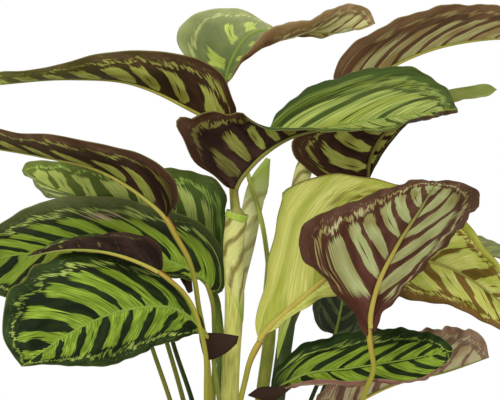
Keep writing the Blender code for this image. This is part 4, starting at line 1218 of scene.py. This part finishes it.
def addSheath(name, line, radius, opening, turn, skin, flare=0.0, thickness=0.5, columns=25):
    # a sheath round a stalk: at each point of the line an arc about it, as wide as opening
    # says there, standing off by the radius, and flaring outwards towards its upper end
    ahead, left = directions(line)[1:]
    rows = len(line)
    share = np.linspace(0, 1, rows)[:, None]
    v = np.linspace(-1, 1, columns)[None, :] * opening[:, None] + turn
    away = radius[:, None] * (1 + flare * (1 - share) ** 6 * np.abs(v - turn) / math.pi)
    points = line[:, None, :] + (np.cos(v) * away)[..., None] * left[:, None, :] \
        + (np.sin(v) * away)[..., None] * ahead[:, None, :]
    corner = gridFaces(rows, columns)
    piece = newPiece(name, points.reshape(-1, 3), [corner], [skin], "stalk")
    length = distances(line)[-1]
    addUv(piece, "skin", (corner % columns / columns).ravel(),
          (corner // columns * length / rows / 100).ravel())
    addValue(piece, "down", np.repeat(share[:, 0], columns))
    addWall(piece, thickness)


addYoungLeaf()

# thin sheaths clasp the feet of the slender stalks; each one's opening faces its own way
sheathFigures = {"share": 0.42, "radii": (4.0, 4.9), "opening": 2.5, "widens": 0.5, "rows": 40,
                 "fine": 160, "every": 4, "turnByLetter": 0.7}
for name, leaf in leaves.items():
    if "radii" not in leaf:
        fig = sheathFigures
        share = np.linspace(0, 1, fig["rows"])
        line = stalkLine(leaf, fig["fine"])[int(fig["fine"] * (1 - fig["share"]))::fig["every"]]
        opening = fig["opening"] * np.clip(share / fig["widens"], 0.02, 1) ** 0.7
        addSheath("sheath_" + name, smoothLine(line, share), np.interp(share, [0, 1], fig["radii"]),
                  opening, fig["turnByLetter"] * len(name), stemSkins[leaf["stem"]])

# two sheaths of other leaves, rolled round the thick stalks and ending in a point: the part of
# the stalk they cover, their radius above and below, and where they open
wraps = {
    "centre": {"shares": (0.068, 0.36), "radii": (11.3, 10.4), "turn": 0.3, "rows": 70},
    "right_high": {"shares": (0.175, 0.62), "radii": (9.6, 8.7), "turn": 2.3, "rows": 90},
}
wrapFigures = {"fine": 400, "every": 5, "opening": 2.9, "closes": 0.6, "flare": 0.06}
for name, wrap in wraps.items():
    fig = wrapFigures
    high, low = (int(end * fig["fine"]) for end in wrap["shares"])
    line = stalkLine(leaves[name], fig["fine"])[high:low:fig["every"]]
    share = np.linspace(0, 1, wrap["rows"])
    opening = fig["opening"] * np.clip((1 - share) / fig["closes"], 0, 1) ** 0.9 + 0.02
    addSheath("wrap_" + name, smoothLine(line, share), np.interp(share, [0, 1], wrap["radii"]),
              opening, wrap["turn"], wrapFinish, fig["flare"])

# the thick middle stalk ends in a green lip, higher on its left than on its right
lipFigures = {"line": [(-13.4, -42.3, 526.5), (-15.2, -41.4, 520)], "rows": 10, "radius": 12.2,
              "opening": (2.3, 2.5), "turn": 1.6, "flare": 0.05, "thickness": 0.4}
share = np.linspace(0, 1, lipFigures["rows"])
addSheath("rim_centre", smoothLine(lipFigures["line"], share),
          np.full(lipFigures["rows"], lipFigures["radius"]),
          np.linspace(*lipFigures["opening"], lipFigures["rows"]), lipFigures["turn"],
          stemSkins["fresh"], lipFigures["flare"], lipFigures["thickness"])

# flaps of blades, seen between the others: their edges, how far they swell and their band
flaps = {
    "front_left": {"upper": [(-54, -74, 400), (-33, -73, 399.5), (-12, -66, 396)],
                   "lower": [(-53, -73, 391), (-46, -74, 372), (-26, -72, 378), (-14, -66, 388)],
                   "bulge": 3, "band": 401.5},
    "left_low": {"upper": [(-76, -24, 456), (-70, -25, 459), (-64, -25, 461)],
                 "lower": [(-76, -24, 455), (-71, -27, 447), (-66, -26, 439), (-62, -25, 441)],
                 "bulge": 2, "band": 421.5},
    "lower_right": {"upper": [(-2, -52, 332), (10, -54, 340), (30, -52, 341), (46, -50, 346)],
                    "lower": [(-2, -52, 331), (8, -54, 328), (24, -50, 325), (44, -46, 338)],
                    "bulge": 3, "band": 411.5},
}
flapFigures = {"rows": 30, "columns": 18, "face": "plum", "across": (0.86, 0.97), "bands": 1.4,
               "along": 0.1}


def addFlap(name, flap):
    # straight from the upper edge to the lower one, swelling forward by bulge in the middle
    fig = flapFigures
    rows, columns = fig["rows"], fig["columns"]
    s = np.linspace(0, 1, rows)
    a, b = smoothLine(flap["upper"], s)[:, None, :], smoothLine(flap["lower"], s)[:, None, :]
    v = np.linspace(0, 1, columns)[None, :, None]
    swell = flap["bulge"] * 4 * v * (1 - v) * np.sin(math.pi * s)[:, None, None]
    points = a * (1 - v) + b * v + np.array(front) * swell
    corner = gridFaces(rows, columns)
    piece = newPiece("flap_" + name, points.reshape(-1, 3), [corner], [faces[fig["face"]]] * 2,
                     "blade_green")
    near, far = fig["across"]
    addUv(piece, "bands", (flap["band"] + corner // columns / rows * fig["bands"]).ravel(),
          (near + (far - near) * (corner % columns) / columns).ravel())
    addValue(piece, "alongBlade", np.repeat(s * fig["along"], columns))
    addValue(piece, "paleAndSheen", np.zeros(rows * columns))
    addWall(piece, bladeFigures["thickness"], 1)


for name, flap in flaps.items():
    addFlap(name, flap)
print("young leaf, sheaths and flaps ready")

potHigh = np.array(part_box("pot")[1]) / mm
potFigures = {
    "height": potHigh[2], "rim": potHigh[0], "base": 66, "body": 88, "collar": 36, "taper": 2,
    "wall": 7, "floor": 11, "lip": (0.3, 1), "ledge": 0.5, "rounding": [6, 2.5, 3, 2.5, 2, 3],
    "steps": 144, "sharpAngle": 35,
    "holes": 4, "holeRadius": 7, "holeCircle": 38, "holeSides": 40, "drill": 40,
}


def roundedProfile(points, rounding, most=0.45, steps=6):
    # each inner corner becomes a curve: a quadratic from one side of the corner to the other
    p = np.array(points, float)
    out = [p[:1]]
    u = np.linspace(0, 1, steps)[:, None]
    for a, b, c, r in zip(p[:-2], p[1:-1], p[2:], rounding):
        start = b + (a - b) * min(most, r / np.linalg.norm(a - b))
        end = b + (c - b) * min(most, r / np.linalg.norm(c - b))
        out.append(start * (1 - u) ** 2 + b * 2 * u * (1 - u) + end * u ** 2)
    return np.vstack(out + [p[-1:]])


def turnedMesh(name, profile, material, slot, steps, lift=None):
    # a profile of radius and height turned about Z, with one point at each end on the axis
    theta = np.linspace(0, 2 * math.pi, steps, endpoint=False)[None, :]
    r, z = profile[1:-1, 0][:, None], profile[1:-1, 1][:, None]
    height = z + (lift(r, theta) if lift else 0 * theta)
    points = np.stack([r * np.cos(theta), r * np.sin(theta), height], axis=-1).reshape(-1, 3)
    points = np.vstack([points, (0, 0, profile[0, 1]), (0, 0, profile[-1, 1])])
    return newPiece(name, points, tubeFaces(len(profile) - 2, steps, inward=True), [material],
                    slot, slot)


def addPot():
    fig = potFigures
    top, rim = fig["height"], fig["rim"]
    collar = top - fig["collar"]
    inner = fig["base"] + (fig["body"] - fig["base"]) * fig["floor"] / collar - fig["wall"]
    lipIn, lipDown = fig["lip"]
    profile = roundedProfile(
        [(0, fig["floor"]), (inner, fig["floor"]), (rim - fig["wall"], top - lipDown),
         (rim - lipIn, top), (rim - fig["taper"], collar), (fig["body"], collar + fig["ledge"]),
         (fig["base"], 0), (0, 0)], fig["rounding"])
    pot = turnedMesh("clay_pot", profile, clayFinish, "pot", fig["steps"])
    cutters = []
    for turn in np.arange(fig["holes"]) * 2 * math.pi / fig["holes"]:
        x, y = fig["holeCircle"] * mm * math.cos(turn), fig["holeCircle"] * mm * math.sin(turn)
        bpy.ops.mesh.primitive_cylinder_add(
            vertices=fig["holeSides"], radius=fig["holeRadius"] * mm, depth=fig["drill"] * mm,
            location=(x, y, 0))
        cutters.append(bpy.context.object)
        hole = pot.modifiers.new("drain", "BOOLEAN")
        hole.operation = "DIFFERENCE"
        hole.object = cutters[-1]
    cut = pot.evaluated_get(bpy.context.evaluated_depsgraph_get())
    pot.data = bpy.data.meshes.new_from_object(cut)
    pot.modifiers.clear()
    for cutter in cutters:
        bpy.data.objects.remove(cutter)
    pot.data.set_sharp_from_angle(angle=math.radians(fig["sharpAngle"]))


soilFigures = {
    "top": 160, "drop": 4, "edge": 22, "rows": 70, "steps": 120, "lump": 0.55, "lumpSize": 16,
    "sink": 0.6, "wallGap": 0.2, "floorGap": 0.3, "narrower": 6,      # than the pot's base
    "chips": 150, "chipSizes": [(4, 11), (3, 6), (1.5, 3)],
    "grains": 90, "grainSizes": [(1.6, 3.4), (1.6, 3.2), (1.4, 2.6)],
    "dent": 0.28, "mostDented": 1.2, "tilt": 0.35, "liftedBy": 0.2,    # in chips, and radians
    "clear": (8, 6),          # of the wall: the chips and the grains
    "seeds": (5, 11, 12),     # the lumps', the chips' and the grains'
}


def bumps(x, y, size, seed, weights=(1, 0.7, 0.5, 0.35, 0.25, 0.2), shrink=0.72):
    # smooth random heights: a sum of sine waves in random directions about size apart
    rng = np.random.default_rng(seed)
    total = 0 * x
    for weight in weights:
        turn, phase = rng.uniform(0, 2 * math.pi, 2)
        size = size * shrink
        total = total + weight * np.sin((x * math.cos(turn) + y * math.sin(turn)) * 2 * math.pi
                                        / size + phase)
    return total


def soilHeight(x, y):
    # the mound's height: flat in the middle, sinking towards the wall, with lumps
    fig = soilFigures
    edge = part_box("soil")[1][0] / mm
    sink = np.clip((np.hypot(x, y) - (edge - fig["edge"])) / fig["edge"], 0, 1)
    lumps = fig["lump"] * bumps(x, y, fig["lumpSize"], fig["seeds"][0])
    return fig["top"] - fig["drop"] * sink + lumps - fig["sink"]


def scatter(name, count, sizes, material, seed, spreadRadius):
    # small stones and chips: one squashed, dented ball for each, turned at random
    fig = soilFigures
    rng = np.random.default_rng(seed)
    rows, columns = 5, 7
    polar = np.linspace(0, math.pi, rows + 2)[1:-1][:, None]
    around = np.linspace(0, 2 * math.pi, columns, endpoint=False)[None, :]
    ball = np.stack([np.sin(polar) * np.cos(around), np.sin(polar) * np.sin(around),
                     np.cos(polar) + 0 * around], axis=-1).reshape(-1, 3)
    ball = np.vstack([ball, (0, 0, 1), (0, 0, -1)])
    size = rng.uniform(*np.array(sizes).T, (count, 3))
    most = fig["mostDented"]
    dents = 1 + fig["dent"] * rng.standard_normal((count, len(ball), 1)).clip(-most, most)
    yaw = rng.uniform(0, 2 * math.pi, count)[:, None]
    tilt = rng.normal(0, fig["tilt"], count)[:, None]
    radius = spreadRadius * np.sqrt(rng.uniform(0.0, 1, count))
    turn = rng.uniform(0, 2 * math.pi, count)
    x, y = radius * np.cos(turn), radius * np.sin(turn)
    local = np.moveaxis(ball[None] * dents * size[:, None, :] / 2, -1, 0)
    tipped = local[0] * np.cos(tilt) + local[2] * np.sin(tilt)
    points = np.stack([tipped * np.cos(yaw) - local[1] * np.sin(yaw) + x[:, None],
                       tipped * np.sin(yaw) + local[1] * np.cos(yaw) + y[:, None],
                       local[2] * np.cos(tilt) - local[0] * np.sin(tilt)
                       + (soilHeight(x, y) + size[:, 2] * fig["liftedBy"])[:, None]], axis=-1)
    base = np.arange(count)[:, None, None] * len(ball)
    walls, start, end = tubeFaces(rows, columns, inward=True)
    faceList = [(base + walls[None]).reshape(-1, 4),
                (base + np.concatenate([start, end])[None]).reshape(-1, 3)]
    newPiece(name, points.reshape(-1, 3), faceList, [material], "soil")


def addSoil():
    fig = soilFigures
    low, high = (np.array(corner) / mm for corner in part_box("soil"))
    edge = high[0]
    r = np.linspace(0, edge - fig["wallGap"], fig["rows"])
    floor = low[2] + fig["floorGap"]
    profile = np.vstack([np.stack([r, fig["top"] + 0 * r], axis=1),
                         [(potFigures["base"] - fig["narrower"], floor), (0, floor)]])

    def lift(radius, theta):
        height = soilHeight(radius * np.cos(theta), radius * np.sin(theta)) - fig["top"]
        height[fig["rows"] - 1:] = 0
        return height

    turnedMesh("potting_mix", profile, soilFinish, "soil", fig["steps"], lift)
    scatter("bark_chips", fig["chips"], fig["chipSizes"], barkFinish, fig["seeds"][1],
            edge - fig["clear"][0])
    scatter("perlite_grains", fig["grains"], fig["grainSizes"], perliteFinish, fig["seeds"][2],
            edge - fig["clear"][1])


addPot()
addSoil()
print("pot and soil ready")

# in metres and watts; the floor is small enough to stay below the camera's view
studioFigures = {
    "floorRadius": 2.3, "floorDrop": 0.0005, "sky": 0.52, "middle": (0, 0, 0.54),
    "lamps": {"key": ((-1.3, -1.9, 1.9), 1.1, 36), "fill": ((1.7, -1.6, 0.9), 1.4, 12),
              "crown": ((0.3, -0.3, 2.2), 1.2, 10)},
    "distance": 1.8, "height": 0.54, "frameWidth": 0.55, "sensor": 36,
}


def addFloor(radius, drop, columns=96):
    theta = np.linspace(0, 2 * math.pi, columns, endpoint=False)
    mesh = bpy.data.meshes.new("floor")
    edge = np.stack([radius * np.cos(theta), radius * np.sin(theta), 0 * theta - drop], axis=1)
    mesh.from_pydata(edge.tolist(), [], [list(range(columns))])
    wear = newMaterial("studio floor, painted")[1]      # matt paint: an even, pale ground
    mesh.materials.append(wear({"Base Color": "#f1f1ee", "Roughness": 0.9}))
    newObject("floor", mesh)


def addLamp(name, place, size, watts):
    lamp = bpy.data.lights.new(name, "AREA")
    lamp.shape = "SQUARE"
    lamp.size = size
    lamp.energy = watts
    holder = newObject(name, lamp)
    holder.location = place
    aim = np.array(studioFigures["middle"], float) - np.array(place, float)
    holder.rotation_euler = Vector(aim).to_track_quat("-Z", "Y").to_euler()


def addSky(strength):
    # even white light from all round, and plain white where the camera sees past the plant
    world = bpy.data.worlds.new("studio")
    bpy.context.scene.world = world
    world.use_nodes = True
    world.node_tree.nodes.clear()
    add = nodeAdder(world.node_tree)[0]
    soft = add("Background", ("#ffffff", strength))
    plain = add("Background", ("#ffffff", 1.0))
    seen = add("LightPath", out="Is Camera Ray")
    add("OutputWorld", (add("MixShader", (seen, soft, plain)),), ())


def addCamera(fig):
    camera = bpy.data.cameras.new("camera")
    camera.sensor_width = fig["sensor"]
    camera.lens = fig["sensor"] * fig["distance"] / fig["frameWidth"]
    eye = newObject("camera", camera)
    eye.location = (0, -fig["distance"], fig["height"])
    eye.rotation_euler = (math.pi / 2, 0, 0)
    bpy.context.scene.camera = eye
    bpy.context.scene.view_settings.view_transform = "Standard"


addFloor(studioFigures["floorRadius"], studioFigures["floorDrop"])
for name, figures in studioFigures["lamps"].items():
    addLamp(name, *figures)
addSky(studioFigures["sky"])
addCamera(studioFigures)

print("finished")
